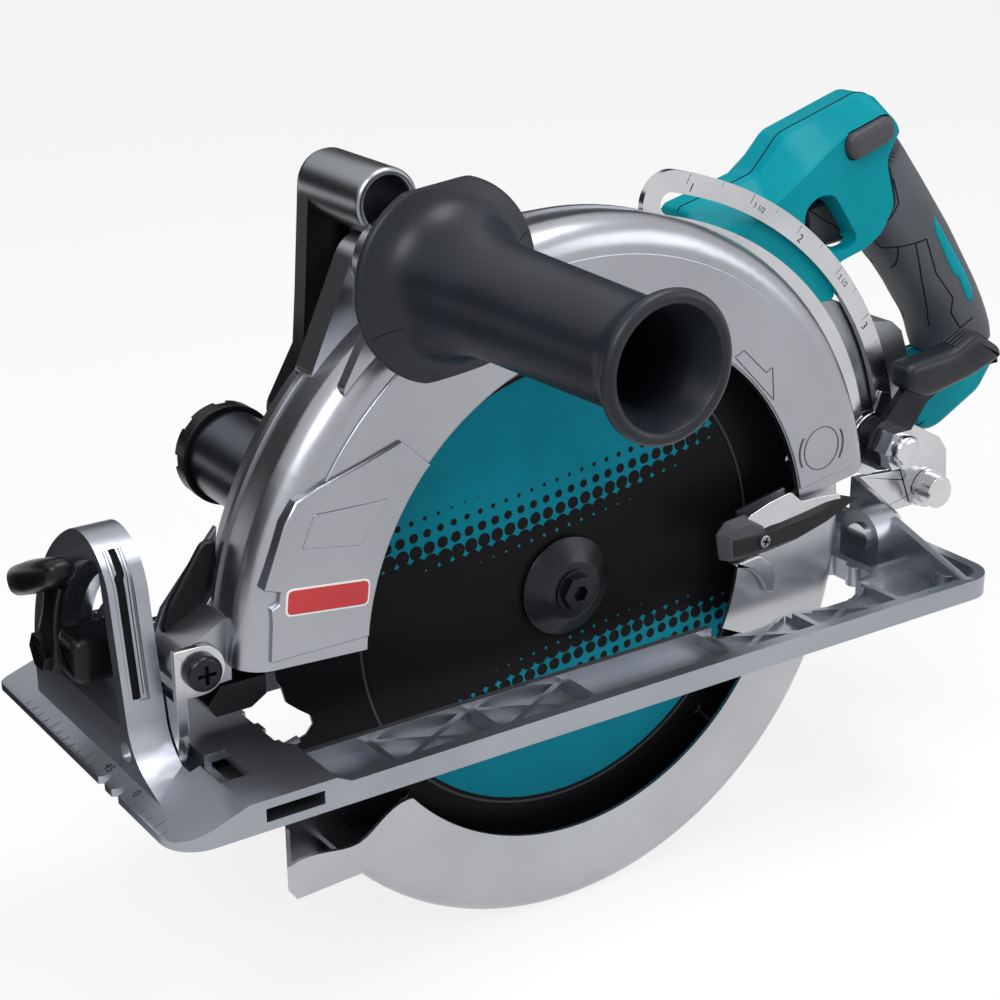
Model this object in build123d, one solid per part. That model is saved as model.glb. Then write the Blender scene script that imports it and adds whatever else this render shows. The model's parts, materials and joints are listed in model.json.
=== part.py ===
from build123d import *
import math
import os

os.makedirs("parts", exist_ok=True)

# Blade and arbor
BLADE_D = 260.0
ARBOR_D = 15.88
PLATE_T = 1.8
KERF = 2.4
TEETH = 24
ARBOR_Z = 35.0
FLANGE_R = 20.5

# Upper blade case, measured from the blade
CASE_ROOM = 20.0
CASE_R = BLADE_D / 2 + CASE_ROOM
CASE_NEAR = 18.0
CASE_FAR = -20.0
CASE_WALL = 3.2
CASE_SHOULDER = 12.0
CASE_FACE = 45.5
CASE_OPENING = CASE_R - CASE_FACE
CASE_BACK = CASE_R - 3.5
BACK_T = 3.0
BACK_GAP = 0.1

# Base shoe
BASE_REAR = -CASE_R - 45.0
BASE_FRONT = CASE_R + 44.0
BASE_FAR = -110.0
BASE_NEAR = 50.0
BASE_FLOOR = 3.0
BASE_RIM = 9.0
FRONT_TOP = 12.0
RIM_W = 5.0
WINDOW_REAR = -BLADE_D / 2 - 20.0
WINDOW_FRONT = BLADE_D / 2 + 5.0
WINDOW_FAR = -45.0
WINDOW_NEAR = 20.0
FENCE_X0 = WINDOW_FRONT + 2.0
FENCE_X1 = FENCE_X0 + 23.0
FENCE_Z0 = 3.4
FENCE_Z1 = 8.6

# Bevel pivot and quadrant
BEVEL_Y = -6.0
BEVEL_Z = 14.0
CLAMP_R = 60.0
QUAD_INNER = CLAMP_R + 10.0
QUAD_R = QUAD_INNER + 12.0
QUAD_X0 = CASE_R + 21.0
QUAD_WEB = QUAD_X0 + 5.0
QUAD_X1 = QUAD_X0 + 15.0
CLAMP_ANGLE = 161.0
BEVEL_PIN_R = 4.0

# Depth pivot, guide and clamp
PIVOT_X = CASE_R + 10.3
PIVOT_Z = ARBOR_Z + 8.5
PIVOT_R = 5.0
GUIDE_PIN_X = -CASE_R - 72.0
GUIDE_PIN_Z = BEVEL_Z + 6.0
CLAMP_X = -CASE_R - 36.0
CLAMP_Z = ARBOR_Z + 16.0
GUIDE_RATIO = -0.75
GUIDE_FAR = -25.5
GUIDE_T = 3.0
GUIDE_SLOT = 9.2
GUIDE_BAND = 27.0
DEPTH_MAX = 28.0

# Lower guard
GUARD_R = BLADE_D / 2 + 7.0
GUARD_NEAR = 13.0
GUARD_FAR = -10.4
GUARD_WALL = 1.6
GUARD_INNER = GUARD_R - 34.5
GUARD_TIP = -38.0
GUARD_TAIL = 170.0
TOE_REACH = GUARD_R - 2.7
TOE_LEAN = 0.51

# Gears
MODULE = 1.25
GEAR_TEETH = 38
PINION_TEETH = 9
GEAR_CENTRES = MODULE * (GEAR_TEETH + PINION_TEETH) / 2
MOTOR_ANGLE = 105.0
MOTOR_X = GEAR_CENTRES * math.cos(math.radians(MOTOR_ANGLE))
MOTOR_Z = ARBOR_Z + GEAR_CENTRES * math.sin(math.radians(MOTOR_ANGLE))
STATOR_R = 37.0
MOTOR_R = STATOR_R + 4.0
ROTOR_R = STATOR_R - 17.0
FAN_R = STATOR_R - 3.0

# Handle
HANDLE_Y = -45.0
HOUSING_HALF = 19.0
GRIP_HALF = 17.5
RUBBER_T = 2.5
SHELL_T = 3.0
COLUMN_Z = ARBOR_Z + 83.0
HEEL_Z = ARBOR_Z + 41.0
HEEL_X = -213.5
HEEL_HALF = 18.0

# Side grip and top sleeve
GRIP_ANGLE = 62.3
GRIP_ROOM = 12.4
GRIP_X = (CASE_R + GRIP_ROOM) * math.cos(math.radians(GRIP_ANGLE))
GRIP_Z = ARBOR_Z + (CASE_R + GRIP_ROOM) * math.sin(math.radians(GRIP_ANGLE))
GRIP_SEAT = 36.0
GRIP_END = 160.0
SLEEVE_X = GRIP_X + 0.5
SLEEVE_Z = GRIP_Z + 19.7
SLEEVE_R = 11.5
ARM_FACE = -34.0

# Dust port
PORT_X = CASE_R - 46.0
PORT_Z = ARBOR_Z + 53.0
PORT_R = 18.0
PORT_END = -80.0


def box(x0, x1, y0, y1, z0, z1):
    return Pos((x0 + x1) / 2, (y0 + y1) / 2, (z0 + z1) / 2) * Box(x1 - x0, y1 - y0, z1 - z0)


def side(sketch, y0, y1):
    # a sketch drawn in x and z, made solid from y0 to y1
    return Pos(0, y1, 0) * extrude(Plane.XZ * sketch, amount=y1 - y0)


def front(sketch, x0, x1):
    # a sketch drawn in y and z, made solid from x0 to x1
    return Pos(x0, 0, 0) * extrude(Plane.YZ * sketch, amount=x1 - x0)


def flat(sketch, z0, z1):
    return Pos(0, 0, z0) * extrude(sketch, amount=z1 - z0)


def bar_y(x, z, y0, y1, r):
    return Pos(x, (y0 + y1) / 2, z) * Rot(90, 0, 0) * Cylinder(r, y1 - y0)


def bar_x(y, z, x0, x1, r):
    return Pos((x0 + x1) / 2, y, z) * Rot(0, 90, 0) * Cylinder(r, x1 - x0)


def bar_z(x, y, z0, z1, r):
    return Pos(x, y, (z0 + z1) / 2) * Cylinder(r, z1 - z0)


def shape(*points):
    return Polygon(*points, align=None)


def disc(x, y, r):
    return Pos(x, y) * Circle(r)


def hull(*sketches):
    edges = []
    for sketch in sketches:
        edges += sketch.edges()
    return make_hull(edges)


def polar(r, angle):
    a = math.radians(angle)
    return (r * math.cos(a), r * math.sin(a))


def above(*points):
    # points whose height is measured from the arbor
    return [(x, ARBOR_Z + z) for x, z in points]


def turned(profile, x, z, start=0.0, sweep=360.0):
    # a profile drawn in radius and y, turned about a line along y
    a = math.radians(start)
    out = (math.cos(a), 0, math.sin(a))
    plane = Plane(origin=(x, 0, z), x_dir=out, z_dir=(-math.sin(a), 0, math.cos(a)))
    return revolve(plane * profile, Axis((x, 0, z), (0, -1, 0)), sweep)


def hexagon(width):
    return RegularPolygon(width / math.sqrt(3), 6)


def cross_slot_y(x, z, y, size, depth):
    wide = box(x - size, x + size, y - depth, y + 1, z - size / 5, z + size / 5)
    tall = box(x - size / 5, x + size / 5, y - depth, y + 1, z - size, z + size)
    return wide + tall


def ring_y(x, z, y0, y1, r, bore):
    return bar_y(x, z, y0, y1, r) - bar_y(x, z, y0 - 1, y1 + 1, bore)


CLAMP_Y = BEVEL_Y + polar(CLAMP_R, CLAMP_ANGLE)[0]
CLAMP_BOLT_Z = BEVEL_Z + polar(CLAMP_R, CLAMP_ANGLE)[1]
KNOB_Y = BEVEL_Y - 26.5
KNOB_Z = BEVEL_Z + 29.0
GUIDE_NEAR = GUIDE_FAR + GUIDE_T
LUG_X0 = BASE_REAR + 15.0
LUG_X1 = LUG_X0 + 14.0
LOCK_ANGLE = MOTOR_ANGLE - 180
LOCK_X = polar(15.5, LOCK_ANGLE)[0]
LOCK_Z = ARBOR_Z + polar(15.5, LOCK_ANGLE)[1]
LEVER_X = 12.3 - GUARD_INNER
ARM_END = (polar(CASE_R - 6, 46)[0], ARBOR_Z + polar(CASE_R - 6, 46)[1])


def shoe_outline():
    length = BASE_FRONT - BASE_REAR
    width = BASE_NEAR - BASE_FAR
    middle = Pos((BASE_FRONT + BASE_REAR) / 2, (BASE_NEAR + BASE_FAR) / 2)
    outline = middle * Rectangle(length, width)
    outline = fillet(outline.vertices().group_by(Axis.Y)[-1], 14)
    return fillet(outline.vertices().group_by(Axis.Y)[0], 4)


def rail_ribs():
    # cross bars and crossed ribs of the near rail
    y0 = WINDOW_NEAR + 2
    y1 = BASE_NEAR - RIM_W + 1
    mid = (y0 + y1) / 2
    stops = [WINDOW_FRONT - back for back in (30, 75, 119, 188, 233, 278)]
    ribs = Part()
    for x in stops:
        ribs += box(x - 1.5, x + 1.5, y0, y1, 1, BASE_RIM - 1.5)
    for a, b in ((0, 1), (1, 2), (3, 4), (4, 5)):
        centre = (stops[a] + stops[b]) / 2
        run = stops[a] - stops[b]
        angle = math.degrees(math.atan2(y1 - y0, run))
        length = math.hypot(run, y1 - y0)
        for turn in (angle, -angle):
            bar = Pos(centre, mid, BASE_FLOOR + 0.5) * Rot(0, 0, turn) * Box(length, 2.4, 5)
            ribs += bar & box(WINDOW_REAR, WINDOW_FRONT, y0, y1, 1, BASE_RIM)
    return ribs


def quadrant():
    crown_in = 8.0
    top_y = BEVEL_Y - crown_in
    top_z = BEVEL_Z + math.sqrt(QUAD_R ** 2 - crown_in ** 2)
    far = (BEVEL_Y - QUAD_R, BEVEL_Z)
    high = (BEVEL_Y + polar(QUAD_R, 140)[0], BEVEL_Z + polar(QUAD_R, 140)[1])
    knee = (BEVEL_Y + 3.0, BEVEL_Z + 11.0)
    foot = (BEVEL_Y + 34.0, 3.0)
    lines = ThreePointArc(far, high, (top_y, top_z)) + Line((top_y, top_z), knee)
    lines += Bezier(knee, (knee[0] + 3, 9.0), (knee[0] + 18, 8.0), foot)
    lines += Line(foot, (foot[0], 1.5)) + Line((foot[0], 1.5), (far[0], 1.5))
    lines += Line((far[0], 1.5), far)
    face = make_face(lines)
    crown = face.vertices().sort_by(Axis.Y)[-1]
    arch = front(fillet(crown, 22), QUAD_X0, QUAD_X1)
    lean = (top_y - knee[0]) / (top_z - knee[1])
    low = BEVEL_Z + 8.5
    inner = knee[0] - 6.2
    corner = (inner + lean * (low - knee[1]), low)
    upper = (inner + lean * (120 - knee[1]), 120)
    space = shape((BEVEL_Y - 90, low), corner, upper, (BEVEL_Y - 90, 120))
    space = fillet((disc(BEVEL_Y, BEVEL_Z, QUAD_INNER) & space).vertices(), 3)
    arch -= front(space, QUAD_WEB, QUAD_X1 + 1)
    groove_a = (knee[0] + 0.2 + lean * 8, knee[1] + 8)
    groove_b = (knee[0] + 0.2 + lean * 62, knee[1] + 62)
    groove = shape(groove_a, groove_b, (groove_b[0] - 1.6, groove_b[1]), (groove_a[0] - 1.6, groove_a[1]))
    arch -= front(groove, QUAD_WEB, QUAD_WEB + 4)
    return arch


def clamp_slot():
    # curved slot of the quadrant web, about the bevel axis
    start = CLAMP_ANGLE + 2
    stop = CLAMP_ANGLE - 47
    wedge = shape((0, 0), polar(200, stop), polar(200, (start + stop) / 2), polar(200, start))
    slot = (Circle(CLAMP_R + 5) - Circle(CLAMP_R - 5)) & wedge
    for angle in (start, stop):
        y, z = polar(CLAMP_R, angle)
        slot += disc(y, z, 5)
    return front(Pos(BEVEL_Y, BEVEL_Z) * slot, QUAD_X0 - 1, QUAD_WEB + 1)


def base_shoe():
    outline = shoe_outline()
    heights = shape(
        (BASE_REAR - 1, 0), (BASE_FRONT + 1, 0), (BASE_FRONT + 1, 2.0), (FENCE_X1 + 6, FRONT_TOP),
        (WINDOW_FRONT - 3, FRONT_TOP), (WINDOW_FRONT - 9, BASE_RIM), (BASE_REAR - 1, BASE_RIM),
    )
    envelope = side(heights, BASE_FAR - 1, BASE_NEAR + 1)
    rim = flat(outline - offset(outline, -RIM_W), 0, FRONT_TOP) & envelope
    nose = flat(outline, 0, FRONT_TOP) & envelope & box(
        WINDOW_FRONT - 3, BASE_FRONT + 1, BASE_FAR - 1, BASE_NEAR + 1, 0, FRONT_TOP + 1)
    shoe = flat(outline, 0, BASE_FLOOR) + rim + nose
    shoe += box(WINDOW_REAR - 4, WINDOW_FRONT, WINDOW_NEAR - 1, WINDOW_NEAR + 3, 0, BASE_RIM)
    shoe += box(WINDOW_REAR - 4, WINDOW_FRONT, WINDOW_FAR - 3, WINDOW_FAR + 1, 0, BASE_RIM)
    shoe += box(WINDOW_REAR - 4, WINDOW_REAR + 1, WINDOW_FAR, WINDOW_NEAR, 0, BASE_RIM)
    shoe += rail_ribs()
    for x in [WINDOW_FRONT - back for back in (50, 115, 180, 245)]:
        shoe += box(x - 1.5, x + 1.5, BASE_FAR + 2, WINDOW_FAR - 1, 1, BASE_RIM - 2)
    shoe += box(BASE_REAR + 2, WINDOW_FRONT, -79, -76, 1, BASE_RIM - 2)
    shoe += box(BASE_REAR + 2, WINDOW_REAR - 1, 12, 15, 1, BASE_RIM - 1)
    shoe += box(BASE_REAR + 2, WINDOW_REAR - 1, -34, -31, 1, BASE_RIM - 1)
    shoe += bar_z(BASE_REAR + 17, BASE_NEAR - 14, 1, BASE_RIM, 6)
    shoe += quadrant()
    lug = disc(BEVEL_Y, BEVEL_Z, 12) + Pos(BEVEL_Y, BEVEL_Z / 2 + 0.5) * Rectangle(24, BEVEL_Z - 1)
    shoe += front(lug, LUG_X0, LUG_X1)
    web = shape((BEVEL_Y, 1), (BASE_NEAR - 3, 1), (BASE_NEAR - 3, BASE_RIM), (BEVEL_Y + 8, BEVEL_Z + 9))
    shoe += front(web, LUG_X0, LUG_X0 + 4)
    window = Pos((WINDOW_FRONT + WINDOW_REAR) / 2, (WINDOW_NEAR + WINDOW_FAR) / 2) * RectangleRounded(
        WINDOW_FRONT - WINDOW_REAR, WINDOW_NEAR - WINDOW_FAR, 6)
    shoe -= flat(window, -1, FRONT_TOP + 1)
    for y in (WINDOW_NEAR - 12, WINDOW_NEAR - 28):
        shoe += bar_z(WINDOW_REAR - 1, y, 0, BASE_RIM, 4)
        shoe -= box(WINDOW_FRONT - 1, WINDOW_FRONT + 1.6, y - 5, y + 5, -1, FRONT_TOP + 1)
    shoe -= box(FENCE_X0, FENCE_X1, BASE_FAR - 1, BASE_NEAR + 1, FENCE_Z0, FENCE_Z1)
    shoe -= box(FENCE_X1 - 5, FENCE_X1 + 7, 9, 30, FENCE_Z1 - 1.6, FRONT_TOP + 1)
    x0 = WINDOW_REAR + 10
    x1 = WINDOW_REAR + 92
    shoe -= box(x0, x1, WINDOW_NEAR - 2, WINDOW_NEAR + 4.5, -1, BASE_RIM + 1)
    shoe -= box(x0, x1, WINDOW_NEAR + 4, WINDOW_NEAR + 8.5, 5, BASE_RIM + 1)
    shoe -= box(QUAD_X0 - 8, QUAD_X0, BEVEL_Y - 30, BEVEL_Y + 20, BASE_FLOOR - 0.5, FRONT_TOP + 1)
    shoe -= clamp_slot()
    for y in (0.0, -11.5):
        notch = shape((BASE_FRONT + 1, y - 3.2), (BASE_FRONT + 1, y + 3.2), (BASE_FRONT - 6, y))
        shoe -= flat(notch, -1, 8)
    shoe -= bar_x(BEVEL_Y, BEVEL_Z, QUAD_X0 - 1, QUAD_X1 + 1, BEVEL_PIN_R + 0.03)
    shoe -= bar_x(BEVEL_Y, BEVEL_Z, LUG_X0 - 1, LUG_X1 + 1, BEVEL_PIN_R + 0.03)
    shoe -= bar_x(KNOB_Y, KNOB_Z, QUAD_X0 + 1, QUAD_WEB + 1, 3.05)
    return shoe


def bevel_pins():
    pin = bar_x(BEVEL_Y, BEVEL_Z, QUAD_X0 - 7, QUAD_X1 - 2, BEVEL_PIN_R)
    pin += bar_x(BEVEL_Y, BEVEL_Z, QUAD_X0 - 7, QUAD_X0 - 5, 6.0)
    pin += bar_x(BEVEL_Y, BEVEL_Z, LUG_X0 - 6, LUG_X1 + 1, BEVEL_PIN_R)
    pin += bar_x(BEVEL_Y, BEVEL_Z, LUG_X0 - 6, LUG_X0 - 4, 6.5)
    pin += bar_x(BEVEL_Y, BEVEL_Z, LUG_X1, LUG_X1 + 1.6, 6.5)
    return pin


def bevel_stop_knob():
    cap = Pos(KNOB_Y, KNOB_Z) * RectangleRounded(17, 17, 4)
    knob = front(cap, QUAD_WEB + 0.6, QUAD_X1 + 4)
    knob = chamfer(knob.faces().sort_by(Axis.X)[-1].edges(), 1.5)
    knob += bar_x(KNOB_Y, KNOB_Z, QUAD_X0 + 1.3, QUAD_WEB + 1, 3.0)
    return knob


def front_bevel_bracket():
    x0 = QUAD_X0 - 4.5
    x1 = QUAD_X0 - 0.5
    arm = hull(disc(BEVEL_Y, BEVEL_Z, 10), disc(CLAMP_Y, CLAMP_BOLT_Z, 10))
    plate = arm + shape((-34, 24), (6, 20), (6, PIVOT_Z + 9.5), (-34, PIVOT_Z + 9.5))
    plate += hull(disc(BEVEL_Y, BEVEL_Z, 10), Pos(-10, 26) * Rectangle(32, 8))
    bracket = front(plate, x0, x1)
    ear = hull(disc(PIVOT_X, PIVOT_Z, 9.5), Pos(x0 + 1, PIVOT_Z) * Rectangle(2, 19))
    bracket += side(ear, 3, 6)
    bracket += side(ear, -25, -22)
    bracket -= box(x0 - 1, x1 + 1, -22, 3, PIVOT_Z - 10.5, PIVOT_Z + 20)
    bracket -= box(x0 - 1, x1 + 1, -36, -25, PIVOT_Z - 9.5, PIVOT_Z + 20)
    bracket -= bar_y(PIVOT_X, PIVOT_Z, -30, 10, PIVOT_R + 0.03)
    bracket -= bar_x(BEVEL_Y, BEVEL_Z, x0 - 1, x1 + 1, BEVEL_PIN_R + 0.06)
    bracket -= bar_x(CLAMP_Y, CLAMP_BOLT_Z, x0 - 1, x1 + 1, 4.03)
    return bracket


def depth_pivot_screw():
    screw = bar_y(PIVOT_X, PIVOT_Z, -32, 6, PIVOT_R)
    head = bar_y(PIVOT_X, PIVOT_Z, 6, 10.5, 6.8)
    head = fillet(head.faces().sort_by(Axis.Y)[-1].edges(), 2.2)
    return screw + head - cross_slot_y(PIVOT_X, PIVOT_Z, 10.5, 3.6, 2.5)


def depth_pivot_nut():
    nut = side(Pos(PIVOT_X, PIVOT_Z) * hexagon(15), -31, -25)
    return nut - bar_y(PIVOT_X, PIVOT_Z, -40, -20, PIVOT_R + 0.02)


def bevel_clamp_bolt():
    bolt = bar_x(CLAMP_Y, CLAMP_BOLT_Z, QUAD_X0 - 8.5, QUAD_X1 + 9, 4.0)
    return bolt + bar_x(CLAMP_Y, CLAMP_BOLT_Z, QUAD_X0 - 8.5, QUAD_X0 - 4.5, 8.0)


def bevel_lever():
    y = CLAMP_Y
    z = CLAMP_BOLT_Z
    lever = bar_x(y, z, QUAD_WEB + 1.7, QUAD_X1 + 5, 6.2)
    arm = hull(disc(y, z, 9), disc(y + 12, z + 34, 6.5))
    lever += front(arm, QUAD_X1 + 1, QUAD_X1 + 5)
    pad = Pos(y + 12.5, z + 35.5) * Rot(0, 0, 24) * RectangleRounded(46, 12, 4)
    paddle = front(pad, QUAD_X1 + 1, QUAD_X1 + 16)
    paddle = chamfer(paddle.faces().sort_by(Axis.X)[-1].edges(), 2)
    lever += paddle
    return lever - bar_x(y, z, QUAD_X0, QUAD_X1 + 20, 4.08)


def bevel_clamp_nut():
    nut = front(Pos(CLAMP_Y, CLAMP_BOLT_Z) * hexagon(13), QUAD_X1 + 5.2, QUAD_X1 + 8.5)
    return nut - bar_x(CLAMP_Y, CLAMP_BOLT_Z, QUAD_X1, QUAD_X1 + 20, 4.02)


def rear_bevel_bracket():
    x0 = LUG_X0 - 4
    x1 = LUG_X0 - 1
    ear_y = GUIDE_FAR - 0.5
    plate = hull(disc(BEVEL_Y, BEVEL_Z, 10), Pos(ear_y - 1.5, 21) * Rectangle(3, 22))
    bracket = front(plate, x0, x1)
    ear = hull(disc(GUIDE_PIN_X, GUIDE_PIN_Z, 9), Pos(x0 + 1.5, 21) * Rectangle(3, 22))
    bracket += side(ear, ear_y - 3, ear_y)
    bracket -= bar_x(BEVEL_Y, BEVEL_Z, x0 - 1, x1 + 1, BEVEL_PIN_R + 0.06)
    bracket -= bar_y(GUIDE_PIN_X, GUIDE_PIN_Z, -40, -20, 5.03)
    return bracket


def guide_pin():
    pin = bar_y(GUIDE_PIN_X, GUIDE_PIN_Z, GUIDE_FAR - 5, GUIDE_NEAR + 4, 5.0)
    pin += bar_y(GUIDE_PIN_X, GUIDE_PIN_Z, GUIDE_FAR - 5, GUIDE_FAR - 3.5, 8.0)
    head = bar_y(GUIDE_PIN_X, GUIDE_PIN_Z, GUIDE_NEAR + 0.3, GUIDE_NEAR + 2.5, 9.0)
    cap = bar_y(GUIDE_PIN_X, GUIDE_PIN_Z, GUIDE_NEAR + 2.5, GUIDE_NEAR + 10, 7.5)
    return pin + head + chamfer(cap.faces().sort_by(Axis.Y)[-1].edges(), 0.8)


def slot_point(theta):
    # place of the clamp bolt on the guide when the saw is raised by theta degrees
    t = math.radians(theta)
    dx = CLAMP_X - PIVOT_X
    dz = CLAMP_Z - PIVOT_Z
    bx = PIVOT_X + dx * math.cos(t) + dz * math.sin(t)
    bz = PIVOT_Z - dx * math.sin(t) + dz * math.cos(t)
    g = -GUIDE_RATIO * t
    ux = bx - GUIDE_PIN_X
    uz = bz - GUIDE_PIN_Z
    x = GUIDE_PIN_X + ux * math.cos(g) + uz * math.sin(g)
    z = GUIDE_PIN_Z - ux * math.sin(g) + uz * math.cos(g)
    return (x, z)


def band(half):
    # the slot's path widened by half on each side, with round ends
    low = -0.6
    high = DEPTH_MAX + 1.5
    steps = [low + (high - low) * i / 6 for i in range(7)]
    outer = []
    inner = []
    for theta in steps:
        x, z = slot_point(theta)
        xa, za = slot_point(theta - 0.5)
        xb, zb = slot_point(theta + 0.5)
        run = math.hypot(xb - xa, zb - za)
        nx = -(zb - za) / run
        nz = (xb - xa) / run
        outer.append((x + nx * half, z + nz * half))
        inner.append((x - nx * half, z - nz * half))
    lines = Spline(*outer) + Line(outer[-1], inner[-1]) + Spline(*inner[::-1]) + Line(inner[0], outer[0])
    path = make_face(lines)
    for theta in (low, high):
        path += disc(*slot_point(theta), half)
    return path


def depth_guide():
    px, pz = GUIDE_PIN_X, GUIDE_PIN_Z
    foot = shape(
        (CLAMP_X - 4, CLAMP_Z + 12), (CLAMP_X - 25, CLAMP_Z + 2), (px - 7, pz + 23), (px - 12, pz + 16),
        (px - 14, pz - 6), (px - 7, pz - 10.5), (px + 6, pz - 8), (px + 14, pz + 12),
        (CLAMP_X - 6, CLAMP_Z - 14))
    foot = fillet(foot.vertices(), 3)
    plate = band(GUIDE_BAND / 2) + disc(CLAMP_X, CLAMP_Z, 16.5) + foot
    plate -= band(GUIDE_SLOT / 2)
    plate -= disc(GUIDE_PIN_X, GUIDE_PIN_Z, 5.06)
    return side(plate, GUIDE_FAR, GUIDE_NEAR)


def depth_pointer():
    washer = Circle(13) + shape((-8, 8), (1, 11), (-3, 22), (-9, 20)) - Circle(4.03)
    return side(Pos(CLAMP_X, CLAMP_Z) * washer, GUIDE_NEAR + 0.3, GUIDE_NEAR + 1.5)


def depth_clamp_bolt():
    bolt = bar_y(CLAMP_X, CLAMP_Z, GUIDE_FAR - 24, GUIDE_NEAR + 16, 4.0)
    return bolt + side(Pos(CLAMP_X, CLAMP_Z) * hexagon(13), GUIDE_FAR - 24, GUIDE_FAR - 18.5)


def depth_lever():
    y0 = GUIDE_NEAR + 1.8
    hub = RegularPolygon(12, 16) + Circle(10)
    lever = side(Pos(CLAMP_X, CLAMP_Z) * hub, y0, y0 + 8)
    arm = hull(disc(CLAMP_X, CLAMP_Z, 9), disc(CLAMP_X - 16, CLAMP_Z + 19, 8))
    arm += hull(disc(CLAMP_X - 16, CLAMP_Z + 19, 7), disc(CLAMP_X - 44, CLAMP_Z + 33, 5))
    lever += side(arm, y0 + 4, y0 + 8)
    return lever - bar_y(CLAMP_X, CLAMP_Z, y0 - 5, y0 + 15, 4.08)


def depth_lever_grip():
    y0 = GUIDE_NEAR + 3.8
    pad = shape(
        (CLAMP_X - 3, CLAMP_Z + 37), (CLAMP_X - 31, CLAMP_Z + 39), (CLAMP_X - 45, CLAMP_Z + 46),
        (CLAMP_X - 61, CLAMP_Z + 36), (CLAMP_X - 62, CLAMP_Z + 31), (CLAMP_X - 44, CLAMP_Z + 25),
        (CLAMP_X - 17, CLAMP_Z + 20), (CLAMP_X - 4, CLAMP_Z + 26))
    grip = side(fillet(pad.vertices(), 2.5), y0, y0 + 14)
    pocket = hull(disc(CLAMP_X, CLAMP_Z, 9), disc(CLAMP_X - 16, CLAMP_Z + 19, 8))
    pocket += hull(disc(CLAMP_X - 16, CLAMP_Z + 19, 7), disc(CLAMP_X - 44, CLAMP_Z + 33, 5))
    return grip - side(pocket, y0 + 2, y0 + 6)


def depth_clamp_nut():
    y0 = GUIDE_NEAR + 10
    nut = side(Pos(CLAMP_X, CLAMP_Z) * hexagon(17), y0, y0 + 9)
    dome = bar_y(CLAMP_X, CLAMP_Z, y0 + 9, y0 + 15, 7.6)
    nut += fillet(dome.faces().sort_by(Axis.Y)[-1].edges(), 3)
    return nut - bar_y(CLAMP_X, CLAMP_Z, y0 - 1, y0 + 6.2, 4.02)


def case_profile():
    # radius and y of the near ring, the rounded shoulder and the rim wall
    r = CASE_R
    w = CASE_WALL
    s = CASE_SHOULDER
    y = CASE_NEAR
    bend = s * math.sqrt(0.5)
    inner = s - w
    dip = inner * math.sqrt(0.5)
    lines = Line((100, y - w), (100, y)) + Line((100, y), (r - s, y))
    lines += ThreePointArc((r - s, y), (r - s + bend, y - s + bend), (r, y - s))
    back = CASE_BACK
    lines += Line((r, y - s), (back, CASE_FAR)) + Line((back, CASE_FAR), (back - w, CASE_FAR))
    lines += Line((back - w, CASE_FAR), (r - w, y - s))
    lines += ThreePointArc((r - w, y - s), (r - s + dip, y - s + dip), (r - s, y - w))
    lines += Line((r - s, y - w), (100, y - w))
    return make_face(lines)


def grip_arm():
    # cast boss for the side grip, with a lobe behind it and a fin down to the near edge of the rim
    lobe = disc(GRIP_X + 1, GRIP_Z - 5.5, 13)
    arm = side(hull(lobe, disc(*ARM_END, 6)), CASE_FAR + 4, CASE_FAR + 16)
    arm += side(lobe, CASE_FAR + 4, 4) + bar_y(GRIP_X, GRIP_Z, 2, GRIP_SEAT, 16)
    fin = hull(disc(GRIP_X + 4, GRIP_Z - 2, 4), disc(*ARM_END, 5))
    arm += side(fin, CASE_NEAR - 6, CASE_NEAR - 1)
    arm -= bar_y(0, ARBOR_Z, -30, 40, CASE_R - CASE_WALL + 0.1)
    return arm - bar_y(GRIP_X, GRIP_Z, 10, GRIP_SEAT + 1, 5.02)


def blade_case():
    case = turned(case_profile(), 0, ARBOR_Z, 3, 168)
    case -= bar_y(-4.5, ARBOR_Z, CASE_NEAR - CASE_WALL - 1, CASE_NEAR + 1, CASE_OPENING)
    bead = Pos(CASE_R - 3.2, CASE_FAR + 9) * Rectangle(4, 2.4)
    case += turned(bead, 0, ARBOR_Z, 4, 165)
    lug = hull(disc(PIVOT_X, PIVOT_Z, 9), Pos(CASE_R - 3, PIVOT_Z + 4) * Rectangle(3, 24))
    lug = side(lug, CASE_FAR + BACK_T + BACK_GAP, 2.7)
    lug -= bar_y(0, ARBOR_Z, -30, 30, CASE_R - CASE_WALL + 0.4)
    case += lug + grip_arm()
    return case - bar_y(PIVOT_X, PIVOT_Z, -30, 10, PIVOT_R + 0.06)


def case_back():
    # far wall of the case, set inside the rim, with a wing forward to the depth pivot
    inner = CASE_BACK - CASE_WALL - BACK_GAP
    upper = Pos(0, ARBOR_Z + 6 + CASE_R / 2) * Rectangle(2 * CASE_R, CASE_R)
    wall = disc(0, ARBOR_Z, inner) & upper
    wall += disc(0, ARBOR_Z, 40)
    wall += shape(*above((-60, 15), (-30, -23), (30, -23), (60, 15)))
    x = CASE_R
    wall += shape(*above(
        (x - 50, 15), (x - 50, -7), (x - 38, -13), (x - 4, -13), (x - 4, 4), (x - 8, 6), (x - 10, 15)))
    back = side(wall, CASE_FAR, CASE_FAR + BACK_T)
    wing = shape(
        (x - 4, ARBOR_Z + 4), (x - 4, PIVOT_Z - 8), (x + 10, PIVOT_Z - 9), (x + 19, ARBOR_Z + 11),
        (x + 13, ARBOR_Z + 24.5), (x - 10, ARBOR_Z + 51))
    wing -= disc(0, ARBOR_Z, CASE_BACK + 0.6)
    wing += shape(*above((x - 4, 4), (x - 4, -13), (x + 2, -13), (x + 4, 4)))
    back += side(wing, CASE_FAR, CASE_FAR + BACK_T)
    back -= bar_y(PIVOT_X, PIVOT_Z, -30, 10, PIVOT_R + 0.06)
    back -= bar_y(PORT_X, PORT_Z, CASE_FAR - 1, CASE_FAR + 4, PORT_R - 2.5)
    return back - bar_y(0, ARBOR_Z, CASE_FAR - 1, CASE_FAR + 4, 27.1)


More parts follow.
